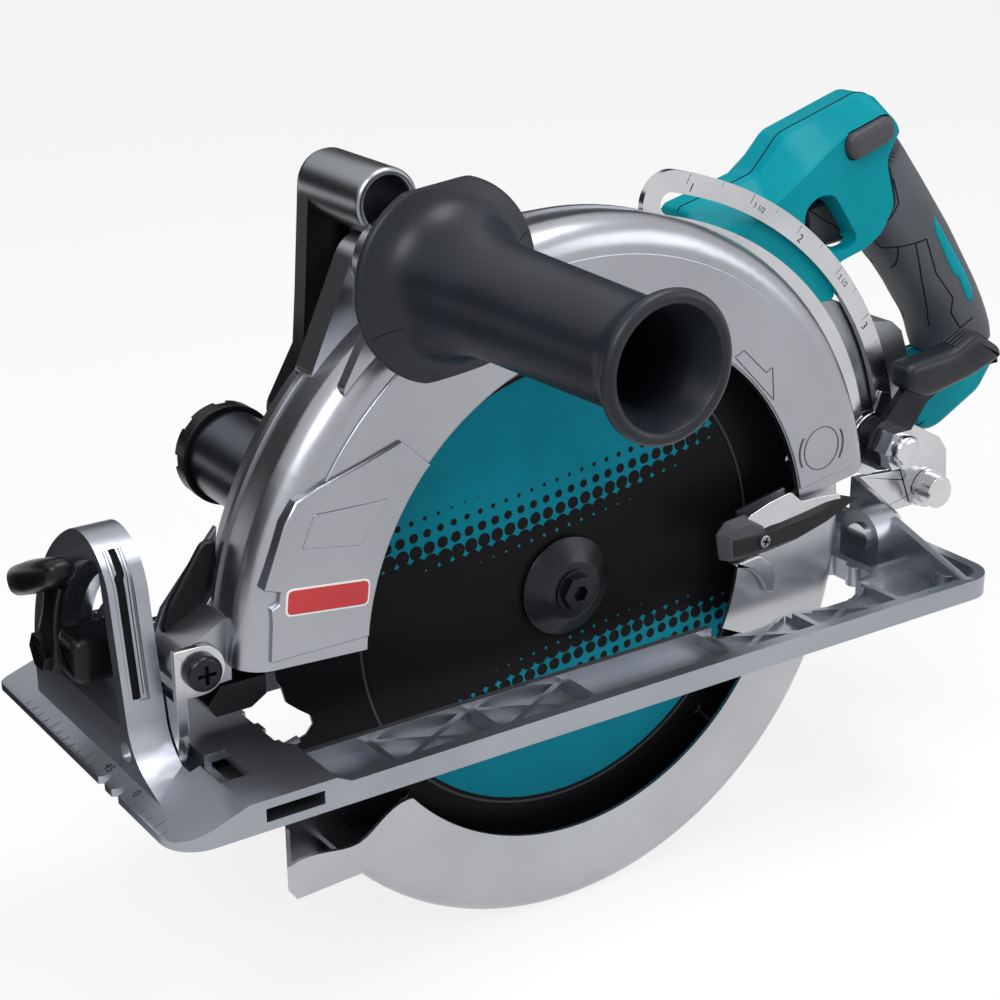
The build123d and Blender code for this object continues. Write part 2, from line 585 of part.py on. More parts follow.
def front_deflector():
    x = CASE_R
    block = shape(*above(
        (x - 16.5, -1), (x - 16.5, -9), (x - 10, -13), (x + 4, -13), (x + 7, -8), (x + 2, -1)))
    return side(block, CASE_FAR + BACK_T, 3)


def bearing_box():
    cup = ring_y(0, ARBOR_Z, -23, -9.3, 27.0, 20.03)
    return cup + ring_y(0, ARBOR_Z, -23, CASE_FAR, 29.0, 20.03)


def spindle_bearings():
    rings = ring_y(0, ARBOR_Z, -22.5, -10.5, 20.0, 16.6)
    rings += ring_y(0, ARBOR_Z, -22.5, -10.5, 12.0, 8.56)
    rings += ring_y(0, ARBOR_Z, -20.5, -12.5, 16.7, 11.9)
    return rings + ring_y(0, ARBOR_Z, -46, -39, 10.98, 5.04)


def guard_ring():
    return ring_y(0, ARBOR_Z, -8.5, -7.4, 26.4, 21.6)


def guard_spring():
    # flat spiral spring of round wire behind the guard hub, with a foot on the case wall
    y = -13.7
    grow = 1.5
    r = 35.0
    x = r
    arcs = []
    for i in range(6):
        s = 1 if i % 2 == 0 else -1
        centre = x - s * r
        crest = (centre, y, ARBOR_Z + s * r)
        arcs.append(ThreePointArc((x, y, ARBOR_Z), crest, (centre - s * r, y, ARBOR_Z)))
        x = centre - s * r
        r += grow
    path = Wire(arcs)
    start = Plane(origin=path @ 0, z_dir=path % 0)
    wire = sweep(start * Circle(0.7), path)
    return wire + bar_y(x, ARBOR_Z, CASE_FAR + BACK_T, y, 0.7)


def gear_housing():
    cup = bar_y(0, ARBOR_Z, -40, CASE_FAR, 32)
    back = hull(disc(0, ARBOR_Z, 15), disc(MOTOR_X, MOTOR_Z, MOTOR_R + 4))
    arm = shape(*above(
        (-15, 5), (-15, 69), (-60, 83), (-163, 83), (-169, 80.5), (-185, 69.5), (-199, 67), (-205, 62),
        (HEEL_X + 0.5, 41), (HEEL_X, 39), (HEEL_X, 11), (-205, 4), (-170, 5), (-120, 11), (-60, 7)))
    housing = cup + side(back, -52, -38) + side(arm, -44, -27)
    housing += bar_y(CLAMP_X, CLAMP_Z, -44, GUIDE_FAR - 0.5, 12)
    housing += bar_y(LOCK_X, LOCK_Z, -51.5, -38, 5.5)
    housing -= bar_y(LOCK_X, LOCK_Z, -60, -30, 2.85)
    housing -= bar_y(0, ARBOR_Z, -38, CASE_FAR + 1, 26.3)
    housing -= bar_y(0, ARBOR_Z, -23, CASE_FAR + 1, 29.02)
    housing -= bar_y(MOTOR_X, MOTOR_Z, -40, CASE_FAR + 1, PINION_TEETH * MODULE / 2 + 3)
    housing -= bar_y(0, ARBOR_Z, -46.5, -37, 11)
    housing -= bar_y(MOTOR_X, MOTOR_Z, -46, -20, 7)
    housing -= bar_y(MOTOR_X, MOTOR_Z, -53, -44, 13)
    housing -= bar_y(CLAMP_X, CLAMP_Z, -60, -20, 4.03)
    housing -= box(CLAMP_X - 9, CLAMP_X + 9, -50, GUIDE_FAR - 18.4, CLAMP_Z - 9, CLAMP_Z + 9)
    return housing


def motor_housing():
    tube = ring_y(MOTOR_X, MOTOR_Z, -118, -52, MOTOR_R, STATOR_R + 0.2)
    tube += ring_y(MOTOR_X, MOTOR_Z, -57, -52, MOTOR_R + 4, STATOR_R + 0.2)
    saddle = box(-56, MOTOR_X, -114, -60, COLUMN_Z - 34, COLUMN_Z - 8)
    saddle -= bar_y(MOTOR_X, MOTOR_Z, -120, -50, STATOR_R + 0.2)
    tube += saddle
    tube -= bar_y(LOCK_X, LOCK_Z, -60, -50, 3.4)
    for angle in range(-60, 61, 20):
        x, z = polar(MOTOR_R, angle)
        tube -= Pos(MOTOR_X + x, -66, MOTOR_Z + z) * Rot(0, -angle, 0) * Box(16, 9, 5)
    return tube


def motor_end_cover():
    r = MOTOR_R
    lines = Line((0, -133), (r - 8, -133)) + ThreePointArc((r - 8, -133), (r - 2.3, -130.7), (r, -125))
    lines += Line((r, -125), (r, -118)) + Line((r, -118), (r - 3, -118)) + Line((r - 3, -118), (r - 3, -125))
    lines += Line((r - 3, -125), (r - 9, -130)) + Line((r - 9, -130), (0, -130)) + Line((0, -130), (0, -133))
    cover = turned(make_face(lines), MOTOR_X, MOTOR_Z)
    cover += ring_y(MOTOR_X, MOTOR_Z, -131, -122, 14, 11.02)
    for angle in range(0, 360, 30):
        x, z = polar(25, angle)
        cover -= Pos(MOTOR_X + x, -131.5, MOTOR_Z + z) * Rot(0, -angle, 0) * Box(14, 8, 4)
    return cover


def stator_core():
    core = Circle(STATOR_R) - Circle(ROTOR_R + 0.6)
    for angle in range(0, 360, 30):
        core -= Rot(0, 0, angle) * Pos((ROTOR_R + STATOR_R) / 2 - 2, 0) * Rectangle(11, 4)
    return side(Pos(MOTOR_X, MOTOR_Z) * core, -104, -64)


def stator_windings():
    ends = ring_y(MOTOR_X, MOTOR_Z, -110, -104, STATOR_R - 5, ROTOR_R + 2)
    return ends + ring_y(MOTOR_X, MOTOR_Z, -64, -58, STATOR_R - 5, ROTOR_R + 2)


def motor_bearings():
    pair = ring_y(MOTOR_X, MOTOR_Z, -52, -44, 12.98, 5.04)
    return pair + ring_y(MOTOR_X, MOTOR_Z, -129.5, -122.5, 11.0, 4.04)


def gear_teeth(count, bore, half_angle_shift):
    # straight-sided teeth with backlash, as one sketch
    pitch_r = MODULE * count / 2
    points = []
    for i in range(count):
        centre = 360.0 * i / count + half_angle_shift
        step = 360.0 / count
        points.append(polar(pitch_r - 1.2 * MODULE, centre - 0.33 * step))
        points.append(polar(pitch_r + 0.8 * MODULE, centre - 0.11 * step))
        points.append(polar(pitch_r + 0.8 * MODULE, centre + 0.11 * step))
        points.append(polar(pitch_r - 1.2 * MODULE, centre + 0.33 * step))
    wheel = shape(*points)
    if bore:
        wheel -= Circle(bore)
    return wheel


def drive_gear():
    wheel = gear_teeth(GEAR_TEETH, 9.02, MOTOR_ANGLE)
    wheel -= Pos(9.2, 0) * Rectangle(3.44, 4.04)
    for angle in range(0, 360, 60):
        wheel -= disc(*polar(15.5, angle + LOCK_ANGLE), 3.1)
    return side(Pos(0, ARBOR_Z) * wheel, -36.5, -25.5)


def rotor_shaft():
    pinion = gear_teeth(PINION_TEETH, 0, MOTOR_ANGLE + 180 + 180 / PINION_TEETH)
    shaft = side(Pos(MOTOR_X, MOTOR_Z) * pinion, -37, -25)
    shaft += bar_y(MOTOR_X, MOTOR_Z, -122, -36.5, 5.0)
    return shaft + bar_y(MOTOR_X, MOTOR_Z, -129.4, -121, 4.0)


def rotor_core():
    return ring_y(MOTOR_X, MOTOR_Z, -103, -65, ROTOR_R, 5.02)


def cooling_fan():
    fan = ring_y(MOTOR_X, MOTOR_Z, -119, -111, 9, 5.02)
    fan += ring_y(MOTOR_X, MOTOR_Z, -119, -117.4, FAN_R, 5.02)
    for angle in range(0, 360, 30):
        x, z = polar(FAN_R - 13.5, angle)
        fan += Pos(MOTOR_X + x, -114.6, MOTOR_Z + z) * Rot(0, -angle + 20, 0) * Box(24, 6.4, 1.6)
    return fan


def spindle():
    shaft = bar_y(0, ARBOR_Z, -24, -7.9, 8.5) + bar_y(0, ARBOR_Z, -37.5, -24, 9.0)
    shaft += bar_y(0, ARBOR_Z, -46.4, -37, 5.0)
    shaft += bar_y(0, ARBOR_Z, -8, 5, ARBOR_D / 2)
    shaft -= bar_y(0, ARBOR_Z, -14, 6, 4.0)
    return shaft + Pos(9.2, -31, ARBOR_Z) * Box(3.4, 10, 4)


def inner_flange():
    body = ring_y(0, ARBOR_Z, -7.88, -PLATE_T / 2, FLANGE_R, ARBOR_D / 2 + 0.02)
    return body - ring_y(0, ARBOR_Z, -1.6, 0, 15, ARBOR_D / 2)


def tooth_angles():
    return [360.0 * i / TEETH for i in range(TEETH)]


def blade():
    r = BLADE_D / 2
    step = 360.0 / TEETH
    points = []
    for a in tooth_angles():
        points.append(polar(r - 1.2, a - 0.03 * step))
        points.append(polar(r - 9, a - 0.02 * step))
        points.append(polar(r - 12.5, a + 0.06 * step))
        points.append(polar(r - 12.5, a + 0.2 * step))
        points.append(polar(r - 8, a + 0.36 * step))
        points.append(polar(r - 4.2, a + 0.5 * step))
        points.append(polar(r - 3.2, a + 0.7 * step))
        points.append(polar(r - 1.4, a + 0.8 * step))
    plate = shape(*points) - Circle(ARBOR_D / 2 + 0.02)
    for a in tooth_angles():
        x, z = polar(r - 2.6, a - 0.015 * step)
        plate -= Pos(x, z) * Rot(0, 0, a) * Rectangle(5.6, 2.1)
    for a in tooth_angles()[3::6]:
        mid = a + 0.13 * step
        x, z = polar(r - 19, mid)
        plate -= Pos(x, z) * Rot(0, 0, mid) * Rectangle(16, 1.2)
        plate -= disc(*polar(r - 27, mid), 2.2)
    return side(Pos(0, ARBOR_Z) * plate, -PLATE_T / 2, PLATE_T / 2)


def carbide_tips():
    r = BLADE_D / 2
    step = 360.0 / TEETH
    tips = Part()
    for a in tooth_angles():
        x, z = polar(r - 2.7, a - 0.015 * step)
        tips += Pos(x, 0, ARBOR_Z + z) * Rot(0, -a, 0) * Box(5.4, KERF, 2.0)
    return tips


def outer_flange():
    y = PLATE_T / 2
    bore = ARBOR_D / 2 + 0.02
    profile = shape(
        (bore, y), (FLANGE_R, y), (FLANGE_R, y + 2), (11, y + 7.6), (5, y + 7.6),
        (5, y + 5.2), (bore, y + 5.2))
    return turned(profile, 0, ARBOR_Z)


def blade_bolt():
    y = PLATE_T / 2 + 7.6
    bolt = bar_y(0, ARBOR_Z, -11, y, 3.98) + side(Pos(0, ARBOR_Z) * hexagon(13), y, y + 4)
    bolt += bar_y(0, ARBOR_Z, y, y + 1.2, 9)
    return bolt - side(Pos(0, ARBOR_Z) * hexagon(6), y + 1, y + 5)


def guard_profile():
    r = GUARD_R
    w = GUARD_WALL
    s = 7.0
    y = GUARD_NEAR
    bend = s * math.sqrt(0.5)
    dip = (s - w) * math.sqrt(0.5)
    hub_r = 33.0
    lines = Line((GUARD_INNER, y - w), (GUARD_INNER, y)) + Line((GUARD_INNER, y), (r - s, y))
    lines += ThreePointArc((r - s, y), (r - s + bend, y - s + bend), (r, y - s))
    lines += Line((r, y - s), (r, GUARD_FAR)) + Line((r, GUARD_FAR), (hub_r - 2, GUARD_FAR))
    lines += Line((hub_r - 2, GUARD_FAR), (hub_r - 2, GUARD_FAR + w))
    lines += Line((hub_r - 2, GUARD_FAR + w), (r - w, GUARD_FAR + w))
    lines += Line((r - w, GUARD_FAR + w), (r - w, y - s))
    lines += ThreePointArc((r - w, y - s), (r - s + dip, y - s + dip), (r - s, y - w))
    lines += Line((r - s, y - w), (GUARD_INNER, y - w))
    return make_face(lines)


def rim(out, angle):
    return polar(GUARD_R + out, angle)


def beyond_toe(back):
    # everything in front of the slanted nose of the toe, seen from above
    near = TOE_REACH - back
    far = near - TOE_LEAN * (GUARD_NEAR - GUARD_FAR)
    corners = shape(
        (near, GUARD_NEAR), (far, GUARD_FAR), (far, GUARD_FAR - 1), (TOE_REACH + 30, GUARD_FAR - 1),
        (TOE_REACH + 30, GUARD_NEAR + 1), (near, GUARD_NEAR + 1))
    return flat(corners, ARBOR_Z - GUARD_R, ARBOR_Z)


def guard_toe():
    # boxed nose of the guard, open at the top
    outside = shape(
        rim(-42.4, -38.6), rim(-14.4, -41.4), rim(0, -41.1), rim(5.6, -39.3), rim(22.5, -35),
        rim(21.9, -32.3), rim(9, -23.8)) - Circle(GUARD_INNER)
    inside = shape(
        rim(-60, -20), rim(-60, -43), rim(-1.8, -43), rim(-1.6, -40.5), rim(4.3, -38.6), rim(20.6, -34.6),
        rim(19.9, -32.8), rim(8, -20))
    toe = side(Pos(0, ARBOR_Z) * outside, GUARD_FAR, GUARD_NEAR) - beyond_toe(0)
    hollow = side(Pos(0, ARBOR_Z) * inside, GUARD_FAR + GUARD_WALL, GUARD_NEAR - GUARD_WALL)
    return toe - (hollow - beyond_toe(1.9))


def guard_wave():
    # what is cut away above the waved edge of the toe's near wall
    wave = Spline(rim(-35.9, -40.4), rim(-20.6, -37), rim(-8.4, -36.6), rim(0.3, -33.8), rim(16, -30))
    edge = [(wave @ (step / 16)).to_tuple()[:2] for step in range(17)]
    above_edge = shape(*edge, (GUARD_R + 30, edge[-1][1]), (GUARD_R + 30, 0), (edge[0][0], 0))
    return side(Pos(0, ARBOR_Z) * above_edge, GUARD_FAR + GUARD_WALL, GUARD_NEAR + 1)


def lower_guard():
    sweep_angle = 360 + GUARD_TIP - GUARD_TAIL
    guard = turned(guard_profile(), 0, ARBOR_Z, GUARD_TAIL, sweep_angle)
    guard += ring_y(0, ARBOR_Z, -16, GUARD_FAR + GUARD_WALL, 33, 27.3)
    tab = Circle(GUARD_INNER + 3) - Circle(GUARD_INNER - 22.5)
    tab &= shape((0, 0), polar(150, 168), polar(150, 184), polar(150, 205))
    guard += side(Pos(0, ARBOR_Z) * tab, GUARD_NEAR - GUARD_WALL, GUARD_NEAR)
    guard += guard_toe()
    guard -= guard_wave()
    guard -= bar_y(LEVER_X, ARBOR_Z, 0, 20, 2.52)
    return guard


def guard_lever():
    x = LEVER_X
    wedge = shape(*above(
        (x + 15.2, 21), (x + 5.2, 24), (x - 45.4, 12.4), (x - 40.2, 9.8), (x - 3.8, -6.5), (x - 10.8, -22),
        (x - 5.8, -23), (x + 14.2, -13), (x + 18.2, -3), (x + 28.7, 14), (x + 25.7, 17.4)))
    lever = side(wedge, CASE_NEAR + 0.4, CASE_NEAR + 3)
    inside = wedge & disc(0, ARBOR_Z, CASE_OPENING - 6)
    lever += side(inside, GUARD_NEAR, CASE_NEAR + 0.5)
    return lever - bar_y(LEVER_X, ARBOR_Z, 0, 30, 2.52)


def lever_screw():
    y = CASE_NEAR + 3
    screw = bar_y(LEVER_X, ARBOR_Z, GUARD_NEAR - GUARD_WALL - 1.5, y, 2.5)
    head = fillet(bar_y(LEVER_X, ARBOR_Z, y, y + 2, 4.6).faces().sort_by(Axis.Y)[-1].edges(), 1.2)
    return screw + head - cross_slot_y(LEVER_X, ARBOR_Z, y + 2, 2.4, 1.4)


def dust_port():
    return ring_y(PORT_X, PORT_Z, PORT_END, CASE_FAR, PORT_R, PORT_R - 2.5)


def dust_port_ring():
    ring = ring_y(PORT_X, PORT_Z, PORT_END - 4, PORT_END + 4, PORT_R + 2.2, PORT_R - 2.5)
    ring -= bar_y(PORT_X, PORT_Z, PORT_END, PORT_END + 5, PORT_R + 0.02)
    for angle in range(0, 360, 45):
        x, z = polar(PORT_R + 2.4, angle)
        ring -= Pos(PORT_X + x, PORT_END - 3, PORT_Z + z) * Rot(0, -angle, 0) * Box(2.4, 4, 5)
    return ring


def top_sleeve():
    tube = bar_y(SLEEVE_X, SLEEVE_Z, ARM_FACE, 1.5, SLEEVE_R)
    return tube - bar_y(SLEEVE_X, SLEEVE_Z, ARM_FACE + 6, 4, SLEEVE_R - 2.5)


def rear_arm():
    foot_x = PORT_X - 8
    foot_z = PORT_Z + 29
    spots = (
        (SLEEVE_X, SLEEVE_Z, 12), (foot_x - 14, foot_z + 43, 9), (foot_x - 11, foot_z + 21, 8),
        (foot_x, foot_z, 9))
    arm = hull(disc(*spots[0]), disc(*spots[1])) + hull(disc(*spots[1]), disc(*spots[2]))
    arm += hull(disc(*spots[2]), disc(*spots[3]))
    body = side(arm, ARM_FACE - 8, ARM_FACE) + bar_y(foot_x, foot_z, ARM_FACE - 1, CASE_FAR, 9)
    recess = hull(disc(SLEEVE_X + 1, SLEEVE_Z - 19, 6), disc(foot_x - 14, foot_z + 43, 5))
    recess += hull(disc(foot_x - 14, foot_z + 43, 5), disc(foot_x - 11, foot_z + 24, 4))
    return body - side(recess, ARM_FACE - 5, ARM_FACE + 1)


def grip_stud():
    stud = bar_y(GRIP_X, GRIP_Z, 11, GRIP_SEAT + 32, 5.0)
    return stud + side(Pos(GRIP_X, GRIP_Z) * hexagon(14), GRIP_SEAT + 24, GRIP_SEAT + 32)


def side_grip():
    y = GRIP_SEAT
    e = GRIP_END
    lines = Line((5.02, y), (35, y)) + ThreePointArc((35, y), (36, y + 2), (34.5, y + 4))
    lines += Bezier((34.5, y + 4), (28, y + 6), (21, y + 9), (19.6, y + 36))
    lines += Line((19.6, y + 36), (18, e - 16))
    lines += Bezier((18, e - 16), (19, e - 8), (23.5, e - 6), (24, e - 3))
    lines += ThreePointArc((24, e - 3), (22, e), (19.5, e - 1))
    lines += Line((19.5, e - 1), (15, e - 12)) + Line((15, e - 12), (13.5, y + 34))
    lines += Line((13.5, y + 34), (5.02, y + 34)) + Line((5.02, y + 34), (5.02, y))
    grip = turned(make_face(lines), GRIP_X, GRIP_Z)
    for s in (1, -1):
        grip -= Pos(GRIP_X, y + 2, GRIP_Z + s * 43.5) * Rot(0, 6, 0) * Box(100, 20, 20)
    return grip - side(Pos(GRIP_X, GRIP_Z) * hexagon(14.06), y + 23.9, y + 40)


def housing_outline():
    return shape(*above(
        (-90, 83), (-90, 130), (-129, 139), (-146, 153), (-184, 167.5), (-192, 166), (-200, 159), (-201, 150),
        (-195, 149), (-192, 139), (-197, 120), (-192, 111), (-187, 101), (-165, 96), (-163, 83)))


def heel_outline():
    return shape(*above((HEEL_X, 9), (HEEL_X, 41), (-273, 41), (-260, 22), (-233, 8)))


def grip_solid(inset):
    # the grip as a loft through five rounded sections, each inset by the same amount
    cuts = (
        above((-180, 117), (-206, 146)), above((-204, 92), (-230, 116)), above((-220.5, 72.5), (-247, 92.5)),
        above((-232, 57), (-263, 68.5)), above((-239, 36), (-274, 42)))
    sections = []
    for fore, aft in cuts:
        dx = fore[0] - aft[0]
        dz = fore[1] - aft[1]
        depth = math.hypot(dx, dz)
        middle = ((fore[0] + aft[0]) / 2, HANDLE_Y, (fore[1] + aft[1]) / 2)
        plane = Plane(origin=middle, x_dir=(dx / depth, 0, dz / depth), z_dir=(dz / depth, 0, -dx / depth))
        sections.append(plane * RectangleRounded(depth - 2 * inset, 2 * (GRIP_HALF - inset), 13 - inset))
    return loft(sections)


def trigger_window(margin, y0, y1):
    # the window round the trigger, open below to the finger gap
    z = ARBOR_Z
    window = box(-186 - margin, -145 + margin, y0, y1, z + 102.5 - margin, z + 130 + margin)
    return window + box(-186 - margin, -168 + margin, y0, y1, z + 85, z + 105)


SCREWS = (
    (-108, ARBOR_Z + 113, HOUSING_HALF), (-128, ARBOR_Z + 122, HOUSING_HALF),
    (-150, ARBOR_Z + 92, HOUSING_HALF), (-245, ARBOR_Z + 27, HEEL_HALF))


def handle_half(s):
    # s is 1 for the near half and -1 for the far half
    def slab(sketch, inner, outer):
        ends = sorted((HANDLE_Y + s * inner, HANDLE_Y + s * outer))
        return side(sketch, ends[0], ends[1])

    def rounded(sketch, outer, cut):
        solid = slab(sketch, 0, outer)
        faces = solid.faces().sort_by(Axis.Y)
        return chamfer((faces[-1] if s > 0 else faces[0]).edges(), cut)

    reach = sorted((HANDLE_Y, HANDLE_Y + s * 60))
    z = ARBOR_Z
    keep = box(-300, -80, reach[0], reach[1], z - 15, z + 195)
    body = rounded(housing_outline(), HOUSING_HALF, 4) + rounded(heel_outline(), HEEL_HALF, 4)
    body += grip_solid(RUBBER_T) & keep & box(-300, -80, -100, 0, z + 25, z + 145)
    body -= slab(offset(housing_outline(), -SHELL_T, kind=Kind.INTERSECTION), -1, HOUSING_HALF - SHELL_T)
    body -= slab(offset(heel_outline(), -SHELL_T, kind=Kind.INTERSECTION), -1, HEEL_HALF - SHELL_T)
    body -= grip_solid(RUBBER_T + SHELL_T) & box(-300, -80, -100, 0, z + 37, z + 141)
    frame_y = sorted((HANDLE_Y, HANDLE_Y + s * (HOUSING_HALF - 1)))
    body += trigger_window(3, frame_y[0], frame_y[1]) & slab(housing_outline(), 0, HOUSING_HALF)
    body -= trigger_window(0, HANDLE_Y - 30, HANDLE_Y + 30)
    body -= box(-172, -160, HANDLE_Y - 5.2, HANDLE_Y + 5.2, z + 125, z + 135)
    for x, z, half in SCREWS:
        ends = sorted((HANDLE_Y, HANDLE_Y + s * (half - 1)))
        body += bar_y(x, z, ends[0], ends[1], 5)
        body -= bar_y(x, z, HANDLE_Y - half - 1, HANDLE_Y + 9.2, 2.03)
        body -= bar_y(x, z, HANDLE_Y - half - 1, HANDLE_Y - half + 6, 4.05)
    return body


def button_sketch(grow):
    return Pos(-180, ARBOR_Z + 150.5) * Rot(0, 0, -24) * RectangleRounded(26 + 2 * grow, 11 + 2 * grow, 5)


def handle_left():
    return handle_half(1) - side(button_sketch(0.3), HANDLE_Y + 8, HANDLE_Y + 30)


def handle_right():
    return handle_half(-1)


def rear_grip_rubber():
    cover = grip_solid(0) - grip_solid(RUBBER_T)
    cover -= side(housing_outline(), HANDLE_Y - HOUSING_HALF, HANDLE_Y + HOUSING_HALF)
    cover -= box(-300, -100, -100, 0, 0, HEEL_Z)
    upper = shape(*above((-140, 105), (-190, 95), (-188, 165), (-140, 165)))
    cover -= side(upper, -100, 0)
    solids = cover.solids().sort_by(SortBy.VOLUME)
    return solids[-1]


def lock_off_button():
    cap = side(button_sketch(0), HANDLE_Y + 10.5, HANDLE_Y + HOUSING_HALF + 3.5)
    return chamfer(cap.faces().sort_by(Axis.Y)[-1].edges(), 1.2)


def trigger():
    wedge = shape(*above((-154, 122.5), (-170, 124.5), (-181, 106), (-168, 104), (-153, 109)))
    lever = side(wedge, HANDLE_Y - 9, HANDLE_Y + 9)
    lever = chamfer(lever.edges().filter_by(Axis.Y), 1.5)
    return lever + box(-170, -162, HANDLE_Y - 4.8, HANDLE_Y + 4.8, ARBOR_Z + 121, ARBOR_Z + 133.5)


def switch_unit():
    z = ARBOR_Z + 139
    body = box(-178, -148, HANDLE_Y - 13, HANDLE_Y + 5, z, z + 11)
    return body + box(-170, -162, HANDLE_Y - 4, HANDLE_Y + 4, z - 0.2, z + 0.5)


def battery_dock():
    z = COLUMN_Z - 34
    dock = box(-172, -56, -126, -44, z, COLUMN_Z)
    dock -= box(-169, -59, -123, -47, z + 3, COLUMN_Z - 3)
    dock -= box(-60, -50, -105, -70, z + 8, z + 22)
    for y, s in ((-60, -1), (-112, 1)):
        dock += box(-172, -70, y - 2, y + 2, z - 9, z + 0.5)
        dock += box(-172, -70, min(y, y + 6 * s), max(y, y + 6 * s), z - 9, z - 6)
    return dock


def terminal_block():
    z = COLUMN_Z - 34
    block = box(-70, -60, -98, -74, z - 11, z)
    for y in (-94, -86, -78):
        block += box(-84, -69, y - 0.6, y + 0.6, z - 9.5, z - 3)
    return block


def controller_board():
    z = COLUMN_Z - 31
    board = box(-155, -80, -118, -56, z, z + 2)
    for x in (-145, -125, -105):
        board += box(x - 7, x + 7, -110, -80, z + 1.5, z + 10)
    return board + bar_z(-90, -70, z + 1.5, z + 17, 7)


def shaft_lock():
    x, z = LOCK_X, LOCK_Z
    far_x, far_z = polar(22, LOCK_ANGLE)
    cap = hull(disc(x, z, 2.8), disc(far_x, ARBOR_Z + far_z, 5))
    return bar_y(x, z, -63, -38.2, 2.8) + side(cap, -64, -60)


def handle_screws():
    screws = Part()
    for x, z, half in SCREWS:
        seat = HANDLE_Y - half + 6
        screws += bar_y(x, z, seat, HANDLE_Y + 9, 2.0) + bar_y(x, z, seat - 3, seat, 4.0)
    return screws


NODES = {
    "base_shoe": base_shoe,
    "bevel_pins": bevel_pins,
    "bevel_stop_knob": bevel_stop_knob,
    "front_bevel_bracket": front_bevel_bracket,
    "depth_pivot_screw": depth_pivot_screw,
    "depth_pivot_nut": depth_pivot_nut,
    "bevel_clamp_bolt": bevel_clamp_bolt,
    "bevel_lever": bevel_lever,
    "bevel_clamp_nut": bevel_clamp_nut,
    "rear_bevel_bracket": rear_bevel_bracket,
    "guide_pin": guide_pin,
    "depth_guide": depth_guide,
    "depth_pointer": depth_pointer,
    "depth_clamp_bolt": depth_clamp_bolt,
    "depth_lever": depth_lever,
    "depth_lever_grip": depth_lever_grip,
    "depth_clamp_nut": depth_clamp_nut,
    "blade_case": blade_case,
    "case_back": case_back,
    "front_deflector": front_deflector,
    "bearing_box": bearing_box,
    "spindle_bearings": spindle_bearings,
    "guard_ring": guard_ring,
    "guard_spring": guard_spring,
    "gear_housing": gear_housing,
    "motor_housing": motor_housing,
    "motor_end_cover": motor_end_cover,
    "stator_core": stator_core,
    "stator_windings": stator_windings,
    "motor_bearings": motor_bearings,
    "drive_gear": drive_gear,
    "rotor_shaft": rotor_shaft,
    "rotor_core": rotor_core,
    "cooling_fan": cooling_fan,
    "spindle": spindle,
    "inner_flange": inner_flange,
    "blade": blade,
    "carbide_tips": carbide_tips,
    "outer_flange": outer_flange,
    "blade_bolt": blade_bolt,
    "lower_guard": lower_guard,
    "guard_lever": guard_lever,
    "lever_screw": lever_screw,
    "dust_port": dust_port,
    "dust_port_ring": dust_port_ring,
    "top_sleeve": top_sleeve,
    "rear_arm": rear_arm,
    "grip_stud": grip_stud,
    "side_grip": side_grip,
    "handle_left": handle_left,
    "handle_right": handle_right,
    "rear_grip_rubber": rear_grip_rubber,
    "lock_off_button": lock_off_button,
    "trigger": trigger,
    "switch_unit": switch_unit,
    "handle_screws": handle_screws,
    "battery_dock": battery_dock,
    "terminal_block": terminal_block,
    "controller_board": controller_board,
    "shaft_lock": shaft_lock,
}

for name, make in NODES.items():
    solid = make()
    export_step(solid, f"parts/{name}.step")
    print(name, len(solid.solids()), round(solid.volume / 1000, 2), "cm3")
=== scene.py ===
# %% [markdown]
# A rear handle circular saw, dressed in Blender.
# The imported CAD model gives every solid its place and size, in metres, with the origin on the sole
# under the arbor, +X forward and +Y out of the blade side. This file adds the finishes, the moulded
# and printed detail, and a small white studio. Nothing here moves or resizes a CAD part.

# %% Load the frame
import json
import math
import bmesh
import bpy
from mathutils import Matrix, Vector
from mathutils.bvhtree import BVHTree


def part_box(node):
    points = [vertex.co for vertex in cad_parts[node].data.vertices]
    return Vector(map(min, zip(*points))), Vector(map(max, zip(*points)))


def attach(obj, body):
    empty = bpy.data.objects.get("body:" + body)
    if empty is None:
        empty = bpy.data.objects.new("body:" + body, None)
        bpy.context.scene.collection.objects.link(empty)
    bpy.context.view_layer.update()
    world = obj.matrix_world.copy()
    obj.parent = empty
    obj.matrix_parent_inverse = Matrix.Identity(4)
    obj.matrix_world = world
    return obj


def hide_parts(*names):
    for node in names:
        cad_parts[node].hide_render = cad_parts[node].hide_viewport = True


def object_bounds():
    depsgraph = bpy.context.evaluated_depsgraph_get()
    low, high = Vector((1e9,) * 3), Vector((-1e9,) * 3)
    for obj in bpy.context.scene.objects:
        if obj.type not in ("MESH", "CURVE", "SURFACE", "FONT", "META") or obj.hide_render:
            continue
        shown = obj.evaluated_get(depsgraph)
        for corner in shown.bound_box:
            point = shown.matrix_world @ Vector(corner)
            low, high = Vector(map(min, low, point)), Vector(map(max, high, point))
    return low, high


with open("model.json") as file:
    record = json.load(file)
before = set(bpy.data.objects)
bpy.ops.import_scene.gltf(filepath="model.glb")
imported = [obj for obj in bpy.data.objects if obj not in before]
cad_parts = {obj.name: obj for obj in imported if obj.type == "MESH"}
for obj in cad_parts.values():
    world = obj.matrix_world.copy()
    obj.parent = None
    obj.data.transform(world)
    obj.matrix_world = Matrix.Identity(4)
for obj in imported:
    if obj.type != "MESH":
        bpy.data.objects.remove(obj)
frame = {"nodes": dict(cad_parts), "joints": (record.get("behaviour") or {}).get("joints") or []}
cad_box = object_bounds()
MM = 0.001
scene = bpy.context.scene
nodes = frame["nodes"]
joints = {joint["name"]: joint for joint in frame["joints"]}

# %% [markdown]
# The photograph was taken from the saw's front, a little above the base, with a long lens. The camera
# was solved from the blade, the base and the flange, so its distance and angles are real ones, and a
# 36 mm wide sensor with a 75 mm lens gives the same perspective.

